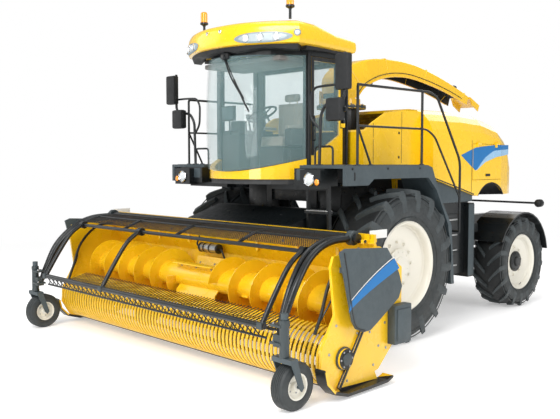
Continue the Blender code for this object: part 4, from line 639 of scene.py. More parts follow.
def gauge_wheels():
    """Ribbed gauge tyres with cream rims."""
    for name, _ in SIDES:
        node = name + "_gauge_wheel"
        low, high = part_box(node)
        centre = (low + high) / 2
        radius, half = centre.z, (high.x - low.x) / 2
        kit = Kit("detail_" + node)
        tread = []
        ribs = 5
        for n in range(ribs):
            left = -half * 0.62 + half * 1.24 * n / ribs
            width = half * 1.24 / ribs
            tread += [(radius - 0.010, left), (radius, left + width * 0.2), (radius, left + width * 0.8),
                      (radius - 0.010, left + width)]
        shoulder = [(radius - 0.022, half * 0.85), (radius - 0.05, half * 0.97), (0.150, half),
                    (0.128, half * 0.9), (0.118, half * 0.72)]
        far = [(r, -x) for r, x in reversed(shoulder)]
        kit.lathe(tread + shoulder + far, centre, (1, 0, 0), "rubber", 56)
        for sign in (1, -1):
            kit.lathe([(0.122, sign * half * 0.70), (0.124, sign * half * 0.86), (0.112, sign * half * 0.84),
                       (0.100, sign * half * 0.45), (0.085, sign * half * 0.32), (0.045, sign * half * 0.34),
                       (0.042, sign * half * 0.86), (0.018, sign * half * 0.88), (0.018, sign * half * 0.2),
                       (0.09, sign * half * 0.2), (0.112, sign * half * 0.5)], centre, (1, 0, 0), "cream", 40)
            for y, z in circle(5, 0.068):
                kit.bolt(centre + Vector((sign * half * 0.335, y, z)), (sign, 0, 0), "steel", 0.006, 0.006)
        kit.done(node, "rubber", (node,), 30)


# ---------------------------------------------------------------- header
def helix(kit, start, end, hand, centre, inner, outer, pitch, mat, per=34):
    """Screw flight with a folded outer edge."""
    turns = abs(end - start) / pitch
    count = int(turns * per)
    rows = []
    for i in range(count + 1):
        x = start + (end - start) * i / count
        angle = hand * 2 * math.pi * turns * i / count
        ring = []
        for r, d in ((inner, -0.005), (outer, -0.004), (outer + 0.002, 0.0), (outer, 0.004), (inner, 0.005)):
            ring.append(Vector((x + d, centre.y + r * math.cos(angle), centre.z + r * math.sin(angle))))
        rows.append(ring)
    kit.grid(rows, mat, closed=True, capped=True)


def auger():
    """Auger tube with a left-hand and a right-hand flight and four paddles between them."""
    kit = Kit("detail_auger")
    half = HEADER_HALF - 0.03
    tube_r, flight_r = 0.155, 0.296
    line = [(0.0, -half), (tube_r, -half), (tube_r, half), (0.0, half)]
    kit.turned(line, AUGER, (1, 0, 0), "yellow_deep", 56)
    for side in (1, -1):
        helix(kit, side * (half - 0.01), side * 0.40, side, AUGER, tube_r - 0.01, flight_r, AUGER_PITCH,
              "yellow_deep")
        kit.turned([(0.0, 0.0), (0.029, 0.0), (0.029, 0.085), (0.0, 0.085)],
                   (side * (half - 0.005), AUGER.y, AUGER.z), (side, 0, 0), "steel", 20)
    for k in range(4):
        turn = Matrix.Translation(AUGER) @ Matrix.Rotation(math.pi / 4 + k * math.pi / 2, 4, "X")
        section = [(0.145, -0.006), (0.23, -0.006), (0.285, 0.03), (0.279, 0.04), (0.226, 0.006),
                   (0.145, 0.006)]
        rows = [[turn @ Vector((x, y, z)) for y, z in section] for x in (-0.37, -0.12, 0.12, 0.37)]
        kit.grid(rows, "yellow_deep", closed=True, capped=True, smooth=False)
        for x in (-0.28, 0.0, 0.28):
            kit.bolt(turn @ Vector((x, 0.20, 0.006)), turn.to_3x3() @ Vector((0, 0, 1)), "steel", 0.009,
                     0.007)
    for n in range(14):
        x = -half + 0.15 + n * (2 * half - 0.3) / 13
        if abs(x) > 0.42:
            angle = 1.1 + n * 2.4
            spot = AUGER + Vector((x, tube_r * math.cos(angle), tube_r * math.sin(angle)))
            kit.box(spot - Vector((0.05, 0.03, 0.012)), spot + Vector((0.05, 0.03, 0.012)), "yellow_deep",
                    0.004)
    kit.done("auger", "yellow", ("auger",), 35)


def pickup():
    """Yellow stripper bands with the tined reel turning between them."""
    low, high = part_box("pickup_bands")
    kit = Kit("detail_pickup_bands")
    radius = 0.30
    pitch = 0.062
    count = int((high.x - low.x) / pitch)
    centre = (REEL.y, REEL.z)
    tail = [(AUGER.y - 0.106, AUGER.z - 0.322), (AUGER.y - 0.19, AUGER.z - 0.276)]
    line = tail + arc(centre, radius, 95, 262, 17)
    inner_tail = [(AUGER.y - 0.100, AUGER.z - 0.340), (AUGER.y - 0.186, AUGER.z - 0.296)]
    inner = inner_tail + arc(centre, radius - 0.016, 95, 262, 17)
    for n in range(count):
        x = low.x + 0.006 + pitch * n
        wide = pitch * 0.56
        bulge = 0.006
        section = []
        for k, (outside, inside) in enumerate(zip(line, inner)):
            a, b = Vector(outside), Vector(inside)
            deep = (a - b).normalized()
            section.append([Vector((x, b.x, b.y)), Vector((x, *(a - deep * 0.004))),
                            Vector((x + wide * 0.25, *a)),
                            Vector((x + wide * 0.5, *(a + deep * bulge * 0.3))),
                            Vector((x + wide * 0.75, *a)),
                            Vector((x + wide, *(a - deep * 0.004))), Vector((x + wide, b.x, b.y))])
        kit.grid(section, "yellow_deep", closed=True, capped=True)
    # A black strip along the lowest edge of the bands: painted shade under the bands.
    y, z = arc(centre, radius - 0.005, 262, 263, 2)[0]
    kit.box((low.x + 0.002, y - 0.016, z - 0.022), (high.x - 0.002, y + 0.016, z - 0.004), "black", 0.004)
    kit.done("header", "yellow", ("pickup_bands",), 40)

    reel = Kit("detail_pickup_reel")
    half = HEADER_HALF - 0.03
    reel.turned([(0.0, -half), (0.05, -half), (0.05, half), (0.0, half)], REEL, (1, 0, 0), "black", 24)
    reel.turned([(0.0, -half - 0.04), (0.024, -half - 0.04), (0.024, half + 0.04), (0.0, half + 0.04)],
                REEL, (1, 0, 0), "steel", 20)
    for x in (-half + 0.01, -half / 3, half / 3, half - 0.01):
        reel.disc(0.198, 0.006, REEL + Vector((x - 0.003, 0, 0)), (1, 0, 0), "black", 32)
    for k in range(5):
        angle = 2 * math.pi * k / 5
        hub = Vector((0, 0.185 * math.cos(angle), 0.185 * math.sin(angle)))
        out = Vector((0, math.cos(angle), math.sin(angle)))
        aside = Vector((0, -math.sin(angle), math.cos(angle)))
        reel.rod(REEL + hub - Vector((half, 0, 0)), REEL + hub + Vector((half, 0, 0)), 0.016, "black", 10)
        for n in range(count):
            x = low.x + 0.006 + pitch * (n + 0.85)
            foot = Vector((x, REEL.y, REEL.z)) + hub
            reel.tube([foot, foot + out * 0.015 - aside * 0.002, foot + out * 0.026 - aside * 0.008], 0.0028,
                      "steel", 4, False)
    reel.done("pickup_reel", "black", ("pickup_reel",), 40)


def top_frame():
    """Top beam, wire-mesh deck and the curved arms that carry the gauge wheels."""
    kit = Kit("detail_top_frame")
    half = 2.30
    kit.across(half, BEAM_Y, BEAM_Z, 0.048, "black", 24)
    kit.across(half - 0.04, RAIL_Y, RAIL_Z, 0.0215, "black", 16)
    kit.across(half - 0.1, BEAM_Y - 0.28, BEAM_Z - 0.004, 0.013, "black", 12)
    for x in (-2.2, -1.1, 0.0, 1.1, 2.2):
        kit.tube([at(x, BEAM_Y, BEAM_Z), at(x, BEAM_Y - 0.28, BEAM_Z), at(x, RAIL_Y, RAIL_Z)], 0.018,
                 "black", 12)

    def deck_height(t):
        """Height of the wire deck, from the beam at 0 to the front bar at 1."""
        return BEAM_Z + 0.022 - 0.085 * t ** 1.6

    across = 150
    for n in range(across + 1):
        x = -2.19 + 4.38 * n / across
        points = [at(x, BEAM_Y - 0.02 - 0.50 * t, deck_height(t)) for t in (0.0, 0.35, 0.7, 1.0)]
        kit.tube(points, 0.0028, "matt", 4, False)
    for n in range(17):
        t = n / 16
        y, z = BEAM_Y - 0.02 - 0.50 * t, deck_height(t) + 0.002
        kit.across(2.19, y, z, 0.0028, "matt", 4)
    for x in (-2.1, -0.7, 0.7, 2.1):
        kit.box(at(x - 0.06, BEAM_Y, BEAM_Z - 0.025), at(x + 0.06, BEAM_Y + 0.099, BEAM_Z + 0.025), "black")
        for dx in (-0.035, 0.035):
            kit.bolt(at(x + dx, BEAM_Y + 0.075, BEAM_Z + 0.025), (0, 0, 1), "steel", 0.01, 0.008)
    for _, side in SIDES:
        x = 2.28
        sleeve_y = -2.88
        for shift, radius in ((0.0, 0.034), (-0.085, 0.030)):
            points = flip(side, [(x - 0.06 + shift, BEAM_Y, BEAM_Z),
                                 (x - 0.06 + shift, BEAM_Y - 0.35, BEAM_Z - 0.02),
                                 (x - 0.04 + shift, BEAM_Y - 0.62, BEAM_Z - 0.13),
                                 (x + shift * 0.8, BEAM_Y - 0.86, BEAM_Z - 0.36),
                                 (x + shift * 0.4, BEAM_Y - 1.02, BEAM_Z - 0.66),
                                 (x, sleeve_y + 0.04, 0.66)])
            kit.tube(points, radius, "black", 16, True, 8)
        for z in (0.62, 0.78):
            kit.box(at(side * (x - 0.045), sleeve_y - 0.05, z - 0.012),
                    at(side * (x + 0.10), sleeve_y + 0.075, z + 0.012), "charcoal", 0.004)
            kit.bolt(at(side * (x - 0.02), sleeve_y - 0.02, z + 0.012), (0, 0, 1), "steel", 0.012, 0.01)
        kit.lathe([(0.046, -0.16), (0.050, -0.15), (0.046, -0.13), (0.044, 0.13), (0.049, 0.15),
                   (0.046, 0.178), (0.0205, 0.178), (0.0205, -0.16)], at(side * 2.38, sleeve_y, 0.66),
                  (0, 0, 1), "charcoal", 32)
        kit.box(at(side * (x - 0.02), sleeve_y - 0.03, 0.585), at(side * 2.35, sleeve_y + 0.06, 0.70),
                "charcoal")
        kit.disc(0.075, 0.07, at(side * (x - 0.095), BEAM_Y, BEAM_Z), (side, 0, 0), "charcoal", 28)
        kit.tube(flip(side, [(2.30, -1.72, 1.36), (2.32, -1.98, 1.32), (2.33, -2.22, 1.10),
                             (2.33, -2.34, 0.80), (2.32, -2.42, 0.62)]), 0.017, "black", 12)
        kit.tube(flip(side, [(2.33, -2.37, 0.72), (2.36, -2.27, 0.88), (2.40, -2.23, 1.00)]), 0.009,
                 "black", 8)
    kit.done("header", "black", ("header_top_frame",), 40)


def windguard():
    """Crop press with its woven front bar and long tines."""
    kit = Kit("detail_windguard")
    half = 2.12
    kit.across(half, PRESS_Y, PRESS_Z, 0.029, "black", 18)
    kit.across(half - 0.02, PRESS_Y + 0.26, PRESS_Z - 0.09, 0.013, "black", 10)
    kit.across(half - 0.02, PRESS_Y + 0.13, PRESS_Z - 0.060, 0.007, "black", 8)
    for x in (-half + 0.04, -0.70, half - 0.04):
        kit.lathe([(0.049, -0.034), (0.049, 0.034), (0.0232, 0.034), (0.0232, -0.034)],
                  at(x, RAIL_Y, RAIL_Z), (1, 0, 0), "black", 28)
        kit.tube([at(x, RAIL_Y - 0.035, RAIL_Z), at(x, RAIL_Y - 0.20, RAIL_Z - 0.12),
                  at(x, RAIL_Y - 0.38, RAIL_Z - 0.36), at(x, PRESS_Y, PRESS_Z)], 0.026, "black", 14, True, 8)
        kit.box(at(x - 0.035, PRESS_Y - 0.032, PRESS_Z - 0.032),
                at(x + 0.035, PRESS_Y + 0.032, PRESS_Z + 0.032), "charcoal")
    pitch = 0.105
    count = int(2 * (half - 0.05) / pitch)
    low_bar = (PRESS_Y + 0.045, PRESS_Z - 0.118)
    kit.across(half - 0.02, *low_bar, 0.012, "black", 10)
    for n in range(count + 1):
        x = -half + 0.05 + pitch * n
        for lean in (-1, 1):
            low = x + lean * pitch
            if abs(low) > half - 0.01:
                continue
            kit.rod(at(x, PRESS_Y, PRESS_Z), at(low, *low_bar), 0.0065, "black", 5)
            kit.tube([at(x, PRESS_Y, PRESS_Z), at((x + low) / 2, PRESS_Y + 0.13, PRESS_Z - 0.057),
                      at(low, PRESS_Y + 0.26, PRESS_Z - 0.09)], 0.0065, "black", 5, False)
    for n in range(2 * count):
        x = -half + 0.05 + pitch / 2 * n
        if abs(x) > half - 0.03:
            continue
        kit.tube([at(x, PRESS_Y + 0.25, PRESS_Z - 0.088), at(x, PRESS_Y + 0.42, PRESS_Z - 0.068),
                  at(x, PRESS_Y + 0.60, PRESS_Z - 0.02)], 0.005, "black", 5, False)
    kit.done("windguard", "black", ("windguard",), 40)


def header_sides():
    """Shield with its band, end plate details, skid wear strip, drive box and blank plate."""
    for name, side in SIDES:
        low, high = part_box(name + "_shield")
        face = high.x if side > 0 else low.x
        kit = Kit(name + "_shield_band")
        outline = []
        steps = [i / 14 for i in range(15)]
        for t in steps:
            outline.append((AXLE.y - 2.185 + 0.66 * t, 0.955 + 0.355 * t - 0.10 * (t - 0.5) ** 2))
        under = []
        for t in steps:
            under.append((AXLE.y - 2.215 + 0.775 * t, 0.835 + 0.345 * t ** 0.8))
        kit.plate(outline + list(reversed(under)), face - side * 0.001, face + side * 0.0022, "blue")
        stripe_x = face + side * 0.0026
        stripe = [[Vector((stripe_x, y, z + 0.012)), Vector((stripe_x, y, z + 0.022))] for y, z in outline]
        kit.grid(stripe, "white")
        edge = [(-2.30, 1.405), (-2.25, 1.20), (-2.20, 0.94), (-2.155, 0.76), (-2.10, 0.67), (-1.99, 0.627)]
        kit.tube([Vector((face - side * 0.008, AXLE.y + y + 0.014, z)) for y, z in edge], 0.013, "black", 12)
        kit.done("header", "grey")

        trim = Kit(name + "_end_fittings")
        x = side * (HEADER_HALF + 0.03)
        out = Vector((side, 0, 0))
        hub = Vector((side * (HEADER_HALF + 0.070), REEL.y, REEL.z))
        trim.disc(0.098, 0.006, hub, out, "matt", 40)
        trim.lathe([(0.100, -0.05), (0.112, -0.045), (0.112, -0.02), (0.100, -0.015)], hub, out, "charcoal",
                   40)
        trim.disc(0.060, 0.020, hub, out, "charcoal", 32)
        for y, z in circle(6, 0.08):
            trim.bolt(hub + Vector((side * 0.006, y, z)), out, "steel", 0.007, 0.006)
        spots = [(-2.26, 0.70), (-2.36, 0.44), (-2.10, 0.14), (-1.70, 0.22), (-1.50, 0.36), (-1.34, 0.84),
                 (-1.32, 1.05), (-1.62, 0.40), (-1.76, 0.56), (-1.52, 0.62), (-1.34, 0.98), (-1.95, 0.58)]
        for y, z in spots:
            trim.bolt(at(x, y, z), out, "steel", 0.010, 0.008)
        trim.box(at(side * (HEADER_HALF + 0.122), -1.44, 0.43), at(side * (HEADER_HALF + 0.140), -1.22, 0.75),
                 "slate", 0.008)
        trim.box(at(side * (HEADER_HALF + 0.02), -1.47, 0.39), at(side * (HEADER_HALF + 0.126), -1.19, 0.79),
                 "slate", 0.012)
        wear = [(-1.50, 0.066), (-1.58, 0.036), (-1.90, 0.028), (-2.20, 0.026), (-2.385, 0.082),
                (-2.497, 0.195), (-2.53, 0.32)]
        rows = []
        for y, z in wear:
            rows.append([at(side * (HEADER_HALF + 0.004), y, z), at(side * (HEADER_HALF + 0.128), y, z),
                         at(side * (HEADER_HALF + 0.128), y + 0.012, z + 0.020),
                         at(side * (HEADER_HALF + 0.004), y + 0.012, z + 0.020)])
        trim.grid(rows, "black", closed=True, capped=True, smooth=False)
        brace = [(-2.24, 0.10), (-1.86, 0.66)]
        start, end = (at(side * (HEADER_HALF + 0.048), *p) for p in brace)
        trim.rod(start, end, 0.024, "black", 12)
        trim.disc(0.03, 0.03, end - out * 0.01, out, "black", 20)
        trim.done("header", "yellow")


def wall_canister():
    """Canister on the trough's rear wall with its two short hoses."""
    kit = Kit("wall_canister")
    centre = at(-0.15, -1.66, 1.17)
    for x0, x1, radius, mat in ((-0.16, 0.14, 0.055, "bare"), (-0.19, -0.16, 0.062, "black"),
                                (0.14, 0.17, 0.060, "black")):
        kit.turned([(0.0, x0), (radius * 0.94, x0), (radius, x0 + 0.006), (radius, x1 - 0.006),
                    (radius * 0.94, x1), (0.0, x1)], centre, (1, 0, 0), mat, 32)
    for x in (-0.09, 0.02):
        kit.lathe([(0.056, -0.009), (0.060, -0.009), (0.060, 0.009), (0.056, 0.009)],
                  centre + Vector((x, 0, 0)), (1, 0, 0), "black", 32)
    kit.tube([centre + Vector((0.17, 0, 0)), centre + Vector((0.24, -0.02, -0.02)),
              centre + Vector((0.27, 0.0, -0.12)), centre + Vector((0.27, 0.04, -0.2))], 0.012, "hose", 10)
    kit.tube([centre + Vector((-0.19, 0, 0)), centre + Vector((-0.27, 0.0, 0.03)),
              centre + Vector((-0.30, 0.06, 0.12)), centre + Vector((-0.30, 0.09, 0.22))], 0.012, "hose", 10)
    kit.box(centre + Vector((-0.12, 0.03, -0.02)), centre + Vector((0.10, 0.085, 0.02)), "black")
    kit.done("header", "black")


def rear_plates():
    """Blank plates on brackets at the ends of the top beam."""
    plates = Kit("rear_plates")
    for side in (1, -1):
        low = at(side * 2.36, -1.66, 1.47)
        plates.box(low, low + Vector((side * 0.012, 0.27, 0.085)), "white", 0.002)
        plates.box(low + Vector((-side * 0.03, -0.10, -0.04)), low + Vector((0.0, 0.12, 0.0)),
                   "yellow", 0.004)
        plates.rod(low + Vector((-side * 0.02, -0.06, -0.02)), low + Vector((-side * 0.14, -0.09, 0.0)),
                   0.012, "black", 10)
        plates.bolt(low + Vector((0, -0.07, -0.018)), (side, 0, 0), "black", 0.012, 0.01)
    plates.done("header", "yellow")


def wall_strips():
    """Strips and bolts on the trough's rear wall."""
    ribs = Kit("trough_wall_strips")
    for x in (-1.9, -1.3, -0.65, 0.65, 1.3, 1.9):
        ribs.box(at(x - 0.02, -1.625, 1.20), at(x + 0.02, -1.612, 1.40), "yellow_deep", 0.003)
    for x in (-2.2, -1.6, -1.0, 0.5, 1.1, 1.7, 2.2):
        ribs.bolt(at(x, -1.635, 1.36), (0, -1, 0), "steel", 0.011, 0.009)
    ribs.box(at(-HEADER_HALF + 0.01, -1.69, 1.425), at(HEADER_HALF - 0.01, -1.655, 1.435), "yellow_deep",
             0.003)
    ribs.done("header", "yellow")


# ---------------------------------------------------------------- cab
def roof():
    """Moulded roof with its lamp bezels and lamps."""
    kit = Kit("detail_cab_roof")
    plan = [(0.90, -0.14), (0.955, -0.55), (1.02, -0.98)]
    for i in range(25):
        u = 1 - 2 * i / 24
        plan.append((1.03 * u, -1.30 - 0.42 * (1 - abs(u) ** 2.2)))
    plan += [(-1.02, -0.98), (-0.955, -0.55), (-0.90, -0.14)]
    rear = [(-0.6, -0.13), (-0.2, -0.125), (0.2, -0.125), (0.6, -0.13)]
    plan += rear
    levels = [(0.955, 3.602, 3.602), (0.985, 3.612, 3.612), (0.998, 3.640, 3.636), (1.0, 3.68, 3.668),
              (0.998, 3.76, 3.712), (0.990, 3.805, 3.735), (0.968, 3.842, 3.757), (0.93, 3.864, 3.772),
              (0.86, 3.881, 3.786), (0.72, 3.896, 3.797), (0.45, 3.903, 3.803), (0.12, 3.905, 3.805)]
    rows = []
    for scale, z_front, z_rear in levels:
        row = []
        for x, y in plan:
            t = min(1.0, max(0.0, (-0.30 - y) / 0.85))
            t = t * t * (3 - 2 * t)
            row.append(at(x * scale, -0.8 + (y + 0.8) * scale, z_rear + (z_front - z_rear) * t))
        rows.append(row)
    kit.grid(rows, "yellow", closed=True, capped=True)

    def on_brow(x, z, proud=0.0):
        """Point on the brow's face, and the way it looks."""
        u = x / 1.03
        y = -1.30 - 0.42 * (1 - abs(u) ** 2.2)
        slope = 0.42 * 2.2 * abs(u) ** 1.2 / 1.03 * (1 if x > 0 else -1)
        normal = Vector((slope, -1.0, 0.0)).normalized()
        return at(x, y, z) + normal * proud, normal

    for side in (1, -1):
        for x0, x1, tall, proud, mat in ((0.34, 0.97, 0.062, 0.005, "bezel"),
                                         (0.40, 0.92, 0.046, 0.010, "pale")):
            rows = []
            count = 22
            for i in range(count + 1):
                t = i / count
                x = side * (x0 + (x1 - x0) * t)
                height = tall * max(0.04, 1 - abs(2 * t - 1) ** 2.6) ** 0.5
                row = []
                for v, lift in ((-1.0, -0.012), (-0.96, 0.0), (-0.5, 0.003), (0.5, 0.003), (0.96, 0.0),
                                (1.0, -0.012)):
                    row.append(on_brow(x, 3.672 + 0.008 * t + height * v, proud + lift)[0])
                rows.append(row)
            kit.grid(rows, mat)
        for x in (0.49, 0.655, 0.82):
            spot, normal = on_brow(side * x, 3.677, 0.010)
            kit.lathe([(0.046, -0.01), (0.046, 0.010), (0.041, 0.014), (0.037, 0.004), (0.037, -0.01)], spot,
                      normal, "chrome", 32)
            kit.turned([(0.037, 0.0), (0.030, 0.007), (0.015, 0.010), (0.0, 0.011)], spot, normal, "clear",
                       28)
        spot, normal = on_brow(side * 1.012, 3.72, 0.0)
        kit.turned([(0.040, -0.02), (0.040, 0.008), (0.034, 0.013), (0.030, 0.004)], spot, normal, "bezel",
                   28)
        kit.turned([(0.032, 0.0), (0.022, 0.010), (0.0, 0.014)], spot, normal, "clear", 24)
        spot, normal = on_brow(side * 0.12, 3.785, 0.0)
        kit.turned([(0.022, -0.01), (0.022, 0.010), (0.014, 0.016), (0.0, 0.017)], spot, normal, "chrome",
                   20)
    kit.done("chassis", "yellow", ("cab_roof",), 38)


def roof_visor():
    """Dark lining under the roof's rim."""
    visor = Kit("roof_visor")
    rows = []
    for i in range(33):
        u = 1 - 2 * i / 32
        x = 0.985 * u
        y = -1.28 - 0.385 * (1 - abs(u) ** 2.2)
        wave = 0.014 * math.cos(3 * math.pi * u)
        rows.append([at(x, y, 3.606), at(x * 0.985, y + 0.02, 3.555 + wave),
                     at(x * 0.93, y + 0.10, 3.545 + wave), at(x * 0.90, y + 0.16, 3.600)])
    visor.grid(rows, "matt", closed=True, capped=True)
    for side in (1, -1):
        rows = []
        for y, x, z in ((-1.10, 0.955, 3.575), (-0.9, 0.94, 3.585), (-0.6, 0.90, 3.592), (-0.3, 0.87, 3.585)):
            rows.append([at(side * x, y, 3.605), at(side * (x - 0.01), y, z - 0.02),
                         at(side * (x - 0.09), y, z - 0.02), at(side * (x - 0.12), y, 3.60)])
        visor.grid(rows, "matt", closed=True, capped=True)
    visor.done("chassis", "black")


def beacons():
    """Amber beacons on their posts."""
    for name, _ in SIDES:
        low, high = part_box(name + "_beacon")
        spot = Vector(((low.x + high.x) / 2, (low.y + high.y) / 2, 0.0))
        kit = Kit("detail_" + name + "_beacon")
        base = high.z - 0.165
        kit.turned([(0.0, low.z), (0.017, low.z), (0.016, base - 0.03), (0.022, base - 0.015),
                    (0.052, base), (0.054, base + 0.012), (0.050, base + 0.026), (0.0, base + 0.026)], spot,
                   (0, 0, 1), "black", 28)
        profile = [(0.047, base + 0.026)]
        for k in range(5):
            z = base + 0.034 + k * 0.022
            profile += [(0.046, z), (0.0475, z + 0.008), (0.046, z + 0.016)]
        profile += [(0.040, high.z - 0.010), (0.025, high.z - 0.002), (0.0, high.z)]
        kit.turned(profile, spot, (0, 0, 1), "amber", 32)
        kit.done("chassis", "amber", (name + "_beacon",), 38)


def wiper():
    """Wiper with its motor cover and linkage."""
    kit = Kit("wiper")
    pivot = at(0.05, -1.60, 3.50)
    tip = at(0.42, -1.625, 2.98)
    kit.disc(0.035, 0.03, pivot + Vector((0, 0.01, 0)), (0, -1, 0), "black", 24)
    kit.tube([pivot, (pivot + tip) / 2 + Vector((0, -0.035, 0)), tip], 0.009, "black", 8)
    kit.tube([pivot + Vector((0.03, 0, -0.02)), (pivot + tip) / 2 + Vector((0.03, -0.03, 0)),
              tip + Vector((0.02, 0, 0.0))], 0.006, "black", 8)
    kit.tube([tip + Vector((-0.16, 0, 0.24)), tip + Vector((0.0, -0.006, 0.0)),
              tip + Vector((0.10, 0, -0.15))], 0.011, "matt", 6)
    kit.box(pivot + Vector((-0.06, -0.01, -0.02)), pivot + Vector((0.08, 0.05, 0.05)), "matt", 0.012)
    kit.done("chassis", "black")


def cab_controls():
    """Consoles, lever, switches, screen, armrests, pedals and column cover."""
    inside = Kit("cab_controls")
    for i in range(3):
        inside.box(at(0.07 - i * 0.07, -1.00, 2.07), at(0.12 - i * 0.07, -0.90, 2.12), "matt", 0.01)
    inside.box(at(-0.74, -0.96, 2.60), at(-0.40, -0.34, 2.655), "dark_trim", 0.02)
    inside.box(at(-0.60, -0.94, 2.64), at(-0.42, -0.80, 2.78), "dark_trim", 0.015)
    inside.tube([at(-0.47, -0.70, 2.65), at(-0.47, -0.72, 2.74), at(-0.46, -0.74, 2.80)], 0.014, "matt", 12)
    inside.turned([(0.0, -0.05), (0.026, -0.04), (0.032, 0.0), (0.026, 0.04), (0.0, 0.05)],
                  at(-0.46, -0.745, 2.83), (0, -0.2, 1), "matt", 24)
    for i in range(4):
        for j in range(2):
            inside.box(at(-0.68 + 0.055 * i, -0.62 + 0.06 * j, 2.655),
                       at(-0.645 + 0.055 * i, -0.585 + 0.06 * j, 2.664),
                       ("amber", "bezel", "bare", "slate")[(i + j) % 4], 0.003)
    inside.box(at(-0.72, -1.00, 2.78), at(-0.46, -0.965, 2.98), "matt", 0.01)
    inside.box(at(-0.70, -1.004, 2.80), at(-0.48, -0.999, 2.96), "slate", 0.001)
    inside.rod(at(-0.58, -0.97, 2.60), at(-0.58, -0.975, 2.80), 0.012, "black", 10)
    inside.box(at(0.28, -0.80, 2.44), at(0.40, -0.34, 2.66), "dark_trim", 0.02)
    inside.box(at(-0.34, -0.78, 2.665), at(-0.275, -0.40, 2.70), "seat", 0.018)
    inside.box(at(0.275, -0.78, 2.665), at(0.335, -0.40, 2.70), "seat", 0.018)
    inside.box(at(-0.70, -1.30, 3.44), at(0.70, -0.60, 3.50), "trim", 0.02)
    inside.box(at(-0.30, -0.70, 2.06), at(0.30, -0.32, 2.41), "dark_trim", 0.02)
    inside.tube([at(0.0, -1.06, 2.10), at(0.0, -1.05, 2.30), at(0.0, -1.00, 2.58), at(0.0, -0.94, 2.80)],
                0.058, "dark_trim", 16)
    inside.box(at(-0.10, -1.00, 2.70), at(0.10, -0.955, 2.80), "dark_trim", 0.012,
               Matrix.Rotation(math.radians(30), 4, "X"))
    inside.done("chassis", "trim")


def steering_wheel():
    """Steering wheel on its column."""
    wheel_kit = Kit("detail_steering_wheel")
    tilt = Matrix.Translation(at(0, -0.92, 2.85)) @ Matrix.Rotation(math.radians(32), 4, "X")
    rim, grip = 0.19, 0.014
    rows = []
    for i in range(49):
        a = 2 * math.pi * i / 48
        row = []
        for k in range(10):
            b = 2 * math.pi * k / 10
            away = rim + grip * math.cos(b)
            row.append(tilt @ Vector((away * math.cos(a), away * math.sin(a), grip * math.sin(b))))
        rows.append(row)
    wheel_kit.grid(rows, "matt", closed=True)
    for a in (math.pi / 2, math.pi * 7 / 6, math.pi * 11 / 6):
        tip = Vector((0.185 * math.cos(a), 0.185 * math.sin(a), 0.0))
        wheel_kit.tube([tilt @ Vector((0, 0, -0.03)), tilt @ (tip * 0.5 + Vector((0, 0, -0.015))),
                        tilt @ tip], 0.010, "matt", 8)
    wheel_kit.turned([(0.0, -0.06), (0.045, -0.05), (0.05, -0.02), (0.035, -0.006), (0.0, -0.002)],
                     tilt.translation, tilt.to_3x3() @ Vector((0, 0, 1)), "dark_trim", 28)
    wheel_kit.tube([at(0, -1.05, 2.06), at(0, -1.05, 2.30), at(0, -0.99, 2.60), at(0, -0.93, 2.83)], 0.034,
                   "dark_trim", 14)
    wheel_kit.done("chassis", "trim", ("steering_column",), 40)


def door_fittings():
    """Door latch, grab handle and the black band around the pane."""
    door = Kit("door_fittings")
    low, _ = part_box("cab_door")
    x = 0.835
    door.box(at(x, -0.87, 2.68), at(x + 0.022, -0.845, 2.80), "black", 0.006)
    door.tube(rounded([at(x, -0.86, 2.50), at(x + 0.035, -0.86, 2.50), at(x + 0.035, -0.86, 2.68),
                       at(x, -0.86, 2.68)], 0.015), 0.008, "black", 10, False)
    # Black band around the pane, so the yellow shows only below the sweep of the sill.
    outer_x = 0.8356
    y0, y1, top = low.y + 0.001, -0.316 + AXLE.y, 3.503
    front, rear = low.y + 0.048, -0.316 - 0.045 + AXLE.y
    for a, b, c, d in ((y0, front, 2.32, top), (rear, y1, 2.66, top), (front, rear, top - 0.046, top)):
        door.box((outer_x, a, c), (outer_x + 0.003, b, d), "matt", 0.001)
    door.done("cab_door", "black")


def pillar_trims():
    """Seals down the door openings and the lock on the nose band."""
    seals = Kit("pillar_trims")
    for side in (1, -1):
        for y in (-0.955, -0.245):
            seals.tube(flip(side, [(0.845, y, 2.10), (0.850, y, 2.8), (0.845, y, 3.55)]), 0.012, "matt", 10)
    seals.box(at(-0.02, -1.548, 2.04), at(0.02, -1.538, 2.08), "chrome", 0.004)
    seals.done("chassis", "black")


def seat():
    """Sprung seat: padded cushion, back and headrest in cloth."""
    for name, low, high in (("seat_cushion", (-0.245, -0.81, 2.435), (0.245, -0.40, 2.555)),
                            ("seat_back", (-0.235, -0.425, 2.56), (0.235, -0.335, 3.02)),
                            ("seat_headrest", (-0.13, -0.405, 3.035), (0.13, -0.335, 3.135))):
        part = bmesh.new()
        bmesh.ops.create_cube(part, size=1.0)
        low, high = at(*low), at(*high)
        place = Matrix.Translation((low + high) / 2) @ Matrix.Diagonal((*(high - low), 1.0))
        bmesh.ops.transform(part, matrix=place, verts=part.verts)
        bmesh.ops.bevel(part, geom=part.edges[:], offset=0.03, segments=3, profile=0.6, affect="EDGES",
                        clamp_overlap=True)
        mesh = bpy.data.meshes.new(name)
        part.to_mesh(mesh)
        part.free()
        pad = bpy.data.objects.new(name, mesh)
        bpy.context.scene.collection.objects.link(pad)
        mesh.materials.append(MATS["seat"])
        puff(pad)
        groove(pad, low, high)
        pad.data.shade_smooth()
        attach(pad, "chassis")
    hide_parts("driver_seat")
    stand = Kit("seat_frame")
    stand.box(at(-0.22, -0.79, 2.42), at(0.22, -0.38, 2.44), "matt", 0.006)
    stand.box(at(-0.20, -0.338, 2.52), at(0.20, -0.318, 3.00), "matt", 0.008)
    stand.rod(at(-0.07, -0.35, 2.98), at(-0.07, -0.352, 3.06), 0.007, "chrome", 8)
    stand.rod(at(0.07, -0.35, 2.98), at(0.07, -0.352, 3.06), 0.007, "chrome", 8)
    stand.done("chassis", "trim")


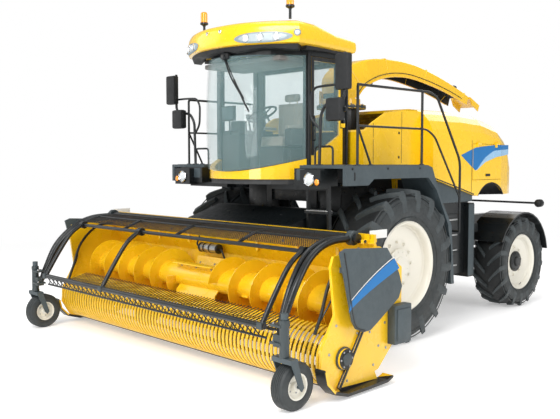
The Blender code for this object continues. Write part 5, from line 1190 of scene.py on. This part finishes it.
def puff(pad):
    """Swell a pad with cloth pressure and keep the result in its mesh."""
    scene = bpy.context.scene
    bpy.context.view_layer.objects.active = pad
    remesh = pad.modifiers.new("remesh", "REMESH")
    remesh.mode = "VOXEL"
    remesh.voxel_size = 0.014
    bake(pad)
    start = [v.co.copy() for v in pad.data.vertices]
    soft = pad.modifiers.new("cloth", "CLOTH")
    soft.settings.use_pressure = True
    soft.settings.uniform_pressure_force = 4.0
    soft.settings.effector_weights.gravity = 0.0
    soft.settings.quality = 4
    soft.point_cache.frame_start = 1
    soft.point_cache.frame_end = 20
    for number in range(1, 21):
        scene.frame_set(number)
    bake(pad)
    scene.frame_set(1)
    cap = 0.012
    for vertex, before in zip(pad.data.vertices, start):
        move = vertex.co - before
        if move.length > cap:
            vertex.co = before + move.normalized() * cap
    subdivide = pad.modifiers.new("smooth", "SUBSURF")
    subdivide.levels = 1
    bake(pad)


def bake(pad):
    """Replace a mesh by what its modifiers make of it."""
    depsgraph = bpy.context.evaluated_depsgraph_get()
    mesh = bpy.data.meshes.new_from_object(pad.evaluated_get(depsgraph))
    pad.modifiers.clear()
    pad.data = mesh


def groove(pad, low, high):
    """Press two stitched channels into the face of a pad."""
    size = high - low
    for vertex in pad.data.vertices:
        for spot in (0.27, 0.73):
            away = abs((vertex.co.x - low.x) / size.x - spot) * size.x
            if away < 0.02:
                pinch = 0.009 * (1 - away / 0.02)
                if size.z > size.y:
                    if vertex.co.y < (low.y + high.y) / 2:
                        vertex.co.y += pinch
                elif vertex.co.z > (low.z + high.z) / 2:
                    vertex.co.z -= pinch


def mirrors():
    """Mirror heads on bent tube arms, one wide and one small head a side."""
    for name, side in SIDES:
        kit = Kit("detail_" + name + "_mirror")
        base = 2.202
        kit.tube(rounded(flip(side, [(1.16, -1.10, base), (1.18, -1.10, 2.78), (1.26, -1.11, 2.90),
                                     (1.50, -1.12, 2.92), (1.56, -1.12, 2.98), (1.56, -1.12, 3.46)]), 0.06),
                 0.018, "black", 14, False)
        kit.tube(rounded(flip(side, [(1.17, -1.10, 2.62), (1.04, -1.12, 2.74), (1.03, -1.12, 3.00),
                                     (1.10, -1.12, 3.10), (1.30, -1.12, 3.11), (1.55, -1.12, 3.11)]), 0.07),
                 0.014, "black", 12, False)
        for low, high in (((1.49, -1.218, 3.04), (1.68, -1.13, 3.44)),
                          ((1.34, -1.208, 2.70), (1.56, -1.11, 2.96))):
            kit.box(at(side * low[0], low[1], low[2]), at(side * high[0], high[1], high[2]), "matt", 0.03)
            kit.box(at(side * (low[0] + 0.015), high[1] - 0.001, low[2] + 0.015),
                    at(side * (high[0] - 0.015), high[1] + 0.003, high[2] - 0.015), "mirror", 0.001)
            kit.disc(0.03, 0.02, at(side * 1.56, -1.135, (low[2] + high[2]) / 2), (0, 1, 0), "black", 20)
        kit.disc(0.045, 0.012, at(side * 1.16, -1.10, base), (0, 0, 1), "black", 24)
        kit.done("chassis", "black", (name + "_mirror",), 40)


# ---------------------------------------------------------------- walkways and rails
def rails():
    """Walkway handrails, the platforms' lamps and the grip mats."""
    for name, side in SIDES:
        kit = Kit("detail_" + name + "_handrail")
        foot, x, top = 2.201, 1.565, 3.12

        def run(points, radius, bend=0.06):
            kit.tube(rounded(flip(side, points), bend), radius, "black", 14, False)

        run([(x, -0.90, foot), (x, -0.90, top - 0.02), (x, -0.88, top)], 0.016)
        run([(x, 0.36, foot), (x, 0.36, top)], 0.016)
        run([(x, -0.90, top), (x, 0.52, top), (x + 0.045, 0.62, top - 0.06), (x + 0.06, 1.15, 2.25),
             (x + 0.06, 1.15, 1.30)], 0.016, 0.10)
        run([(x, -0.90, foot + 0.45), (x, 0.46, foot + 0.45), (x + 0.03, 0.60, foot + 0.36),
             (x + 0.06, 1.16, 1.75)], 0.013, 0.10)
        run([(x, -0.66, foot), (x, -0.67, foot + 0.03), (x, -0.90, foot + 0.45)], 0.013)
        run([(x + 0.06, 1.15, 1.31), (x - 0.2, 1.15, 1.31)], 0.016)
        for y in (-0.90, -0.66, 0.36):
            kit.disc(0.035, 0.010, at(side * x, y, foot), (0, 0, 1), "black", 24)
            for dx in (-0.022, 0.022):
                kit.bolt(at(side * (x + dx), y, foot + 0.008), (0, 0, 1), "steel", 0.005, 0.005)
        kit.done("chassis", "black", (name + "_handrail",), 40)

        trims = Kit(name + "_platform_lamps")
        lamp = at(side * 1.19, -1.30, 2.04)
        forward = Vector((0, -1, 0))
        trims.lathe([(0.078, -0.01), (0.080, 0.012), (0.072, 0.020), (0.064, 0.012), (0.060, -0.004)], lamp,
                    forward, "chrome", 40)
        trims.turned([(0.063, 0.004), (0.050, 0.016), (0.025, 0.022), (0.0, 0.024)], lamp, forward, "clear",
                     32)
        blink = at(side * 1.31, -1.30, 2.01)
        trims.turned([(0.036, -0.01), (0.036, 0.008), (0.024, 0.018), (0.0, 0.021)], blink, forward,
                     "amber", 28)
        trims.lathe([(0.036, -0.01), (0.042, -0.01), (0.042, 0.006), (0.036, 0.008)], blink, forward,
                    "matt", 28)
        trims.box(at(side * 0.90, -1.225, 2.02), at(side * 1.05, -1.05, 2.16), "slate", 0.02)
        grab = [(1.00, -1.00, 2.19), (1.00, -1.00, 2.42), (1.28, -1.00, 2.42), (1.28, -1.00, 2.19)]
        trims.tube(rounded(flip(side, grab), 0.05), 0.013, "black", 12, False)
        trims.done("chassis", "black")

        skin = Kit(name + "_walkway_mat")
        skin.box(at(side * 0.93, -1.13, 2.199), at(side * 1.53, 0.40, 2.204), "walk", 0.001)
        skin.box(at(side * 1.618, -1.00, 2.03), at(side * 1.6235, -1.02, 2.12), "matt", 0.001)
        for y in (-1.05, -0.4, 0.25):
            skin.bolt(at(side * 1.62, y, 2.16), (side, 0, 0), "black", 0.010, 0.007)
        skin.done("chassis", "grey")


def ladder_details():
    """Grip strips on the ladder's treads and the steps and straps on the tank boxes."""
    kit = Kit("ladder_treads")
    for i in range(4):
        z = 0.68 + 0.32 * i
        kit.box(at(0.992, -1.172, z + 0.0295), at(1.328, -1.048, z + 0.034), "bare", 0.001)
        for k in range(9):
            x = 1.01 + 0.0375 * k
            kit.box(at(x, -1.165, z + 0.033), at(x + 0.012, -1.055, z + 0.038), "bare", 0.001)
    for name, side in SIDES:
        low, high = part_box(name + "_tank")
        for i in range(4):
            z = 0.74 + 0.22 * i
            kit.box((side * 1.158, low.y + 0.10, z), (side * 1.180, high.y - 0.34, z + 0.022), "bare", 0.003)
        kit.box((side * 1.236, high.y - 0.145, low.z + 0.02), (side * 1.246, high.y + 0.003, high.z - 0.04),
                "slate", 0.004)
        for z in (0.9, 1.45):
            kit.box((side * 1.158, low.y + 0.04, z), (side * 1.168, high.y - 0.2, z + 0.05), "black", 0.003)
    kit.done("chassis", "black")


# ---------------------------------------------------------------- body, hood and spout
def panel_seams():
    """Dark joints, latches and grilles on the yellow bodywork."""
    kit = Kit("body_seams")
    for _, side in SIDES:
        x = side * 1.0605
        for y, z0, z1 in ((0.02, 2.22, 2.73), (0.62, 2.22, 2.90)):
            kit.box(at(x - side * 0.002, y - 0.0035, z0), at(x + side * 0.0012, y + 0.0035, z1), "matt",
                    0.0005)
        for z in (2.30, 2.62):
            kit.disc(0.016, 0.005, at(x, 0.56, z), (side, 0, 0), "matt", 20)
        for foot_y, top_y in ((0.16, -0.02), (0.50, 0.24)):
            kit.rod(at(x - side * 0.004, foot_y, 2.24), at(x - side * 0.004, top_y, 2.62), 0.007, "yellow",
                    8)
    for x in (-0.7, -0.35, 0.35, 0.7):
        for n in range(7):
            y = -0.05 + n * 0.05
            kit.box(at(x - 0.13, y, 2.560), at(x + 0.13, y + 0.022, 2.572), "matt", 0.003)
    kit.done("chassis", "yellow")


def hood_point(side, y, z, proud=0.0):
    """Point on the side of the rear hood."""
    squeeze = 1.0 if y < 2.90 else 1.0 - 0.03 * (y - 2.90) / 0.26
    return at(side * (1.25 * squeeze + proud), y, z)


def height_on(line, y):
    """Height of a broken line at y."""
    for (y0, z0), (y1, z1) in zip(line, line[1:]):
        if y <= y1:
            return z0 + (z1 - z0) * max(0.0, (y - y0) / (y1 - y0))
    return line[-1][1]


def decals():
    """Blank swoosh across the hood's side, split at the door."""
    for name, side in SIDES:
        upper = [(1.78, 2.335), (2.18, 2.45), (2.70, 2.488), (3.18, 2.495)]
        lower = [(1.78, 2.325), (2.17, 2.10), (2.42, 2.23), (2.75, 2.31), (3.18, 2.35)]

        y_start, y_end = 1.78, 3.18
        spans = [("hood", y_start, 2.083, 0.0), ("door", 2.089, 2.892, 0.004), ("hood", 2.903, y_end, 0.0)]
        kits = {"hood": Kit(name + "_hood_decal"), "door": Kit(name + "_door_decal")}
        for part, y0, y1, lift in spans:
            count = 14
            for band, mat in ((0, "blue"), (1, "sky")):
                rows = []
                for i in range(count + 1):
                    y = y0 + (y1 - y0) * i / count
                    t = (y - y_start) / (y_end - y_start)
                    top, low = height_on(upper, y), height_on(lower, y)
                    split = low + (top - low) * min(0.55, max(0.0, (t - 0.28) * 1.6))
                    z0, z1 = (split, top) if band == 0 else (low, split)
                    row = []
                    for k in range(4):
                        row.append(hood_point(side, y, z0 + (z1 - z0) * k / 3, lift + 0.0018))
                    rows.append(row)
                kits[part].grid(rows, mat)
        kits["hood"].done("chassis", "yellow")
        kits["door"].done(name + "_hood_door", "yellow")


def hood_details():
    """Hood seams, arch liners, lamps on stalks, tail lamps, grilles and the blank plate."""
    kit = Kit("hood_fittings")
    for _, side in SIDES:
        seam = [hood_point(side, 2.06, z, 0.0008) for z in (1.80, 2.1, 2.4, 2.55)]
        kit.tube(seam, 0.003, "matt", 6, False)
        low_edge = [(1.10, 2.02), (1.6, 1.90), (2.13, 1.765)]
        kit.tube([hood_point(side, y, z, -0.008) for y, z in low_edge], 0.012, "matt", 8, False)
        arch = [hood_point(side, y, z, -0.010) for y, z in arc(HOOD_ARCH, 0.474, 142, 38, 20)]
        kit.tube(arch, 0.013, "matt", 8, False)
        liner = []
        for y, z in arc(HOOD_ARCH, 0.468, 142, 38, 20):
            liner.append([at(side * 1.22, y, z), at(side * 0.80, y, z - 0.02)])
        kit.grid(liner, "matt")
        kit.box(at(side * 1.18, 1.18, 1.66), at(side * 1.215, 2.15, 1.96), "slate", 0.01)
        kit.box(at(side * 1.10, 1.14, 1.655), at(side * 1.19, 2.12, 1.745), "black", 0.01)
        stalk = at(side * 1.64, 3.39, 1.60)
        for sign, mat in ((-1, "matt"), (1, "red")):
            kit.turned([(0.050, 0.0), (0.050, 0.012), (0.030, 0.020), (0.0, 0.022)],
                       stalk + Vector((0, sign * 0.040 - 0.015, 0)), (0, sign, 0), mat, 28)
        kit.lathe([(0.057, -0.045), (0.060, -0.04), (0.060, 0.04), (0.057, 0.045)],
                  stalk - Vector((0, 0.015, 0)), (0, 1, 0), "matt", 28)
        kit.turned([(0.0, -0.02), (0.018, -0.02), (0.018, 0.0), (0.0, 0.0)], at(side * 0.98, 3.405, 2.02),
                   (0, 1, 0), "matt", 16)
        kit.box(at(side * 0.86, 3.33, 1.80), at(side * 1.02, 3.372, 2.06), "matt", 0.01)
        kit.box(at(side * 0.88, 3.36, 1.95), at(side * 1.00, 3.380, 2.04), "red", 0.006)
        kit.box(at(side * 0.88, 3.36, 1.86), at(side * 1.00, 3.380, 1.94), "amber", 0.006)
    for n in range(15):
        z = 2.02 + n * 0.022
        kit.box(at(-0.72, 3.355, z), at(0.72, 3.372, z + 0.011), "matt", 0.003)
    kit.box(at(-0.76, 3.352, 1.995), at(-0.72, 3.374, 2.36), "matt", 0.004)
    kit.box(at(0.72, 3.352, 1.995), at(0.76, 3.374, 2.36), "matt", 0.004)
    kit.box(at(-0.14, 3.415, 1.62), at(0.14, 3.421, 1.86), "white", 0.003)
    for sign in (1, -1):
        for n in range(9):
            y = 1.30 + 0.06 * n
            kit.box(at(sign * 0.28, y, 2.966), at(sign * 0.78, y + 0.026, 2.974), "matt", 0.003)
    kit.done("chassis", "yellow")


def hood_latches():
    """Latches on the hood doors."""
    for name, side in SIDES:
        door = Kit(name + "_hood_door_latch")
        face = hood_point(side, 2.5, 2.04, 0.004)
        door.box(face + Vector((0, -0.06, -0.018)), face + Vector((side * 0.010, 0.06, 0.018)), "matt", 0.005)
        door.done(name + "_hood_door", "black")


def spout():
    """Spout duct in smooth sheet metal with its flanges, lamps and tilt rod."""
    half = 0.188
    top = [(-0.22, 3.20), (-0.21, 3.42), (0.02, 3.598), (0.45, 3.72), (1.00, 3.753), (1.55, 3.72),
           (2.20, 3.59), (2.80, 3.42), (3.05, 3.335)]
    bottom = [(0.14, 3.14), (0.18, 3.20), (0.36, 3.34), (0.78, 3.48), (1.30, 3.52), (1.90, 3.45),
              (2.50, 3.33), (3.00, 3.19)]
    upper = spline([Vector((0, y, z)) for y, z in top], 5)
    lower = spline([Vector((0, y, z)) for y, z in bottom], 6)

    def sample(line, t):
        spot = t * (len(line) - 1)
        i = min(int(spot), len(line) - 2)
        return line[i].lerp(line[i + 1], spot - i)

    kit = Kit("detail_spout_arm")
    count = 44
    outer, inner = [], []
    for i in range(count + 1):
        t = i / count
        a, b = sample(upper, t), sample(lower, t)
        edge = 0.03
        across = (b - a).normalized()
        ring, hollow = [], []
        for x, u in ((-half, 1.0), (-half, 0.06), (-half + edge * 0.35, 0.015), (-half + edge, 0.0),
                     (half - edge, 0.0), (half - edge * 0.35, 0.015), (half, 0.06), (half, 1.0)):
            p = a.lerp(b, u)
            ring.append(at(x, SPOUT_Y + p.y, p.z))
            q = p + across * (0.012 if u < 0.5 else 0.0)
            hollow.append(at(x * 0.93, SPOUT_Y + q.y, q.z))
        outer.append(ring)
        inner.append(hollow)
    kit.grid(outer, "yellow")
    # The inside of the duct is matt black: painted shade for the dark underside of the spout.
    kit.grid([list(reversed(r)) for r in inner], "matt")
    kit.grid([[o[0], i[0]] for o, i in zip(outer, inner)], "yellow")
    kit.grid([[o[-1], i[-1]] for o, i in zip(outer, inner)], "yellow")
    kit.grid([outer[-1], inner[-1]], "yellow")
    kit.grid([outer[0], inner[0]], "yellow")
    for t in (0.22, 0.45, 0.68, 0.93):
        a, b = sample(upper, t), sample(lower, t)
        for x in (-1, 1):
            kit.rod(at(x * (half - 0.004), SPOUT_Y + b.y, b.z), at(x * (half - 0.004), SPOUT_Y + a.y, a.z),
                    0.011, "yellow", 8)
        kit.across(half - 0.01, SPOUT_Y + a.y, a.z, 0.011, "yellow", 8)
    for x in (-1, 1):
        line = [at(x * (half - 0.002), SPOUT_Y + p.y, p.z) for p in lower[2:-1]]
        kit.tube(line, 0.010, "yellow", 8, False)
    lamp = at(0.0, SPOUT_Y + 2.90, 3.445)
    kit.rod(lamp - Vector((0, 0, 0.04)), lamp + Vector((0, 0, 0.02)), 0.010, "black", 8)
    kit.turned([(0.0, -0.03), (0.034, -0.02), (0.040, 0.02), (0.030, 0.024), (0.0, 0.024)],
               lamp + Vector((0, 0, 0.04)), (0, 1, -0.3), "matt", 24)
    under = at(0.0, SPOUT_Y + 0.62, 3.40)
    kit.box(under + Vector((-0.05, -0.03, -0.03)), under + Vector((0.05, 0.03, 0.03)), "matt", 0.01)
    cable = [at(half + 0.004, SPOUT_Y + p.y, p.z + 0.05) for p in lower[4:-2:3]]
    kit.tube(cable, 0.006, "hose", 6)
    kit.lathe([(0.044, -0.183), (0.044, 0.183), (0.0232, 0.183), (0.0232, -0.183)],
              at(0, SPOUT_Y - 0.14, 3.17), (1, 0, 0), "charcoal", 28)
    kit.done("spout_arm", "yellow", ("spout_arm",), 34)


def turret_ring():
    """Bolted ring around the spout's turret."""
    ring = Kit("turret_ring")
    ring.lathe([(0.348, 2.983), (0.352, 3.0), (0.348, 3.034), (0.33, 3.037), (0.33, 2.983)],
               at(0, SPOUT_Y, 0), (0, 0, 1), "charcoal", 64)
    for x, y in circle(16, 0.31):
        ring.bolt(at(x, SPOUT_Y + y, 3.042), (0, 0, 1), "steel", 0.010, 0.009)
    ring.done("spout_turret", "yellow")


def driveline_hoses():
    """Hoses between the chassis and the header."""
    kit = Kit("driveline_hoses")
    for n in range(8):
        side = 1 if n % 2 else -1
        x = side * (0.10 + 0.05 * n)
        start = at(x, -0.45, 1.28 - 0.01 * n)
        kit.tube([start, start + Vector((0.02 * side, -0.15, -0.05)),
                  start + Vector((0.05 * side, -0.45, -0.10)),
                  start + Vector((0.05 * side, -0.72, 0.02 + 0.013 * (n % 4)))], 0.012, "hose", 8)
    kit.done("header", "black")


def engine_dressing():
    """Covers, ports and pipes on the plain engine block."""
    engine = Kit("engine_dressing")
    low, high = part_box("engine_block")
    engine.box(low + Vector((0.10, 0.10, 0.80)), high + Vector((-0.10, -0.10, 0.06)), "steel", 0.03)
    for side in (1, -1):
        for n in range(6):
            y = low.y + 0.16 + n * 0.19
            engine.box((side * 0.552, y, low.z + 0.35), (side * 0.60, y + 0.11, low.z + 0.60), "steel", 0.01)
        engine.tube([(side * 0.57, low.y + 0.2, low.z + 0.72), (side * 0.62, low.y + 0.6, low.z + 0.74),
                     (side * 0.57, high.y - 0.2, low.z + 0.72)], 0.045, "bare", 16)
        engine.box((side * 0.552, low.y + 0.05, low.z + 0.06), (side * 0.575, high.y - 0.05, low.z + 0.22),
                   "matt", 0.01)
    engine.done("chassis", "black")


def axle_fittings():
    """Hub bolts, brake hoses and the steering cylinder."""
    axle = Kit("axle_fittings")
    for _, side in SIDES:
        for y, z in circle(12, 0.26):
            spot = Vector((side * 0.782, AXLE.y + y, AXLE.z + z))
            axle.bolt(spot, (-side, 0, 0), "steel", 0.014, 0.012)
        axle.tube([at(side * 0.30, 0.16, 1.10), at(side * 0.48, 0.24, 1.04), at(side * 0.70, 0.12, 1.02),
                   at(side * 0.82, 0.05, 0.98)], 0.014, "hose", 8)
        axle.rod(at(side * 0.20, 3.06, 0.78), at(side * 0.72, 3.05, 0.70), 0.03, "steel", 16)
        axle.rod(at(side * 0.70, 3.05, 0.70), at(side * 0.78, 3.06, 0.69), 0.016, "chrome", 12)
    axle.done("chassis", "black")


def front_curtain():
    """Black plates that close the space under the cab."""
    curtain = Kit("front_curtain")
    for side in (1, -1):
        curtain.box(at(side * 0.50, -0.375, 1.06), at(side * 0.86, -0.355, 1.955), "black", 0.006)
        curtain.box(at(side * 0.50, -0.395, 1.55), at(side * 0.86, -0.370, 1.60), "charcoal", 0.006)
    curtain.box(at(-0.50, -0.375, 1.72), at(0.50, -0.355, 1.955), "black", 0.006)
    curtain.done("chassis", "black")


def feed_house_panels():
    """Face plate, bolts and ribs on the feed housing."""
    face = Kit("feed_house_panels")
    face.box(at(-0.90, -1.462, 1.30), at(0.90, -1.448, 1.44), "slate", 0.01)
    for x in (-0.75, -0.25, 0.25, 0.75):
        face.bolt(at(x, -1.462, 1.37), (0, -1, 0), "steel", 0.012, 0.010)
    for x in (-0.5, 0.5):
        face.box(at(x - 0.02, -1.08, 1.565), at(x + 0.02, -0.75, 1.595), "black", 0.008)
    face.done("header", "black")


# ---------------------------------------------------------------- finishes of the CAD nodes
def dress_nodes():
    """Finishes for the CAD nodes that keep their shape."""
    dress("yellow", "body_panels", "cab_door", "cab_nose_band", "rear_hood", "spout_turret", "spout_flap")
    dress("yellow_deep", "header_left_end", "header_right_end", "header_trough")
    dress("black", "cab_frame", "chassis_frame", "chopper_housing", "engine_block", "feed_housing",
          "front_axle", "rear_axle")
    for name, _ in SIDES:
        dress("yellow", name + "_hood_door")
        dress("black", name + "_knuckle", name + "_lift_barrel", name + "_platform", name + "_tank")
        dress("slate", name + "_mudguard", name + "_shield", name + "_caster_fork")
        dress("chrome", name + "_lift_rod")
    dress_part("body_panels", "black", lambda p: p.z < 2.0 or (abs(abs(p.x) - 0.42) < 0.06 and p.z < 2.29))
    dress_part("rear_hood", "black", lambda p: p.z < 1.70 or (abs(p.x) < 0.4 and p.y > AXLE.y + 3.365))
    for name, _ in SIDES:
        dress_part(f"header_{name}_end", "black", lambda p: p.z < 0.085)
    dress("glass", "windscreen")
    dress("pane", "door_glass", "rear_window", "right_window")
    dress("dark_trim", "cab_floor")


# ---------------------------------------------------------------- studio
def studio():
    """Pale floor, white backdrop, soft lights and the camera at the photo's viewing angle."""
    floor_mesh = bpy.data.meshes.new("studio_floor")
    reach = 60.0
    floor_mesh.from_pydata([(-reach, -reach, -0.001), (reach, -reach, -0.001), (reach, reach, -0.001),
                            (-reach, reach, -0.001)], [], [(0, 1, 2, 3)])
    floor = bpy.data.objects.new("studio_floor", floor_mesh)
    bpy.context.scene.collection.objects.link(floor)
    white = Shader("studio_floor_white", (0.88, 0.88, 0.88), 0.9)
    white.shader.inputs["Emission Color"].default_value = (1.0, 1.0, 1.0, 1.0)
    # The far floor glows until it meets the white backdrop, so no horizon shows.
    away = white.node("ShaderNodeVectorMath", Vector=white.place)
    away.operation = "LENGTH"
    glow = white.spread(away.outputs["Value"], 0.34, 1.0, 5.5, 13.0)
    white.tree.links.new(glow, white.shader.inputs["Emission Strength"])
    white.tint(white.spread(away.outputs["Value"], 0.0, 1.0, 5.5, 13.0), (0.0, 0.0, 0.0))
    white.shader.inputs["Specular IOR Level"].default_value = 0.0
    floor_mesh.materials.append(white.made)

    world = bpy.data.worlds.new("studio_world")
    world.use_nodes = True
    tree = world.node_tree
    backdrop = tree.nodes["Background"]
    backdrop.inputs["Color"].default_value = (1.0, 1.0, 1.0, 1.0)
    # The backdrop is seen as white but lights the machine less, so that the dark parts stay dark.
    seen = tree.nodes.new("ShaderNodeLightPath").outputs["Is Camera Ray"]
    level = tree.nodes.new("ShaderNodeMapRange")
    level.inputs["To Min"].default_value = 0.42
    level.inputs["To Max"].default_value = 1.0
    tree.links.new(seen, level.inputs["Value"])
    tree.links.new(level.outputs["Result"], backdrop.inputs["Strength"])
    bpy.context.scene.world = world

    for name, spot, size, power in LIGHTS:
        data = bpy.data.lights.new(name, "AREA")
        data.shape = "DISK"
        data.size = size
        data.energy = power
        lamp = bpy.data.objects.new(name, data)
        lamp.location = spot
        aim = Vector((0, 0, 1.4)) - Vector(spot)
        lamp.rotation_euler = aim.to_track_quat("-Z", "Y").to_euler()
        bpy.context.scene.collection.objects.link(lamp)

    eye = bpy.data.cameras.new("camera")
    eye.lens = CAMERA_LENS
    eye.sensor_width = 36.0
    eye.clip_end = 200.0
    camera = bpy.data.objects.new("camera", eye)
    camera.location = at(*CAMERA_PLACE)
    camera.rotation_euler = (math.radians(90 - CAMERA_DOWN), 0.0, math.radians(CAMERA_TURN))
    bpy.context.scene.collection.objects.link(camera)
    bpy.context.scene.camera = camera
    bpy.context.scene.view_settings.view_transform = "Standard"


studio()
dress_nodes()
wheels()
gauge_wheels()
auger()
pickup()
top_frame()
windguard()
header_sides()
wall_canister()
rear_plates()
wall_strips()
roof()
roof_visor()
beacons()
wiper()
cab_controls()
steering_wheel()
door_fittings()
pillar_trims()
seat()
mirrors()
rails()
ladder_details()
panel_seams()
decals()
hood_details()
hood_latches()
spout()
turret_ring()
driveline_hoses()
engine_dressing()
axle_fittings()
front_curtain()
feed_house_panels()
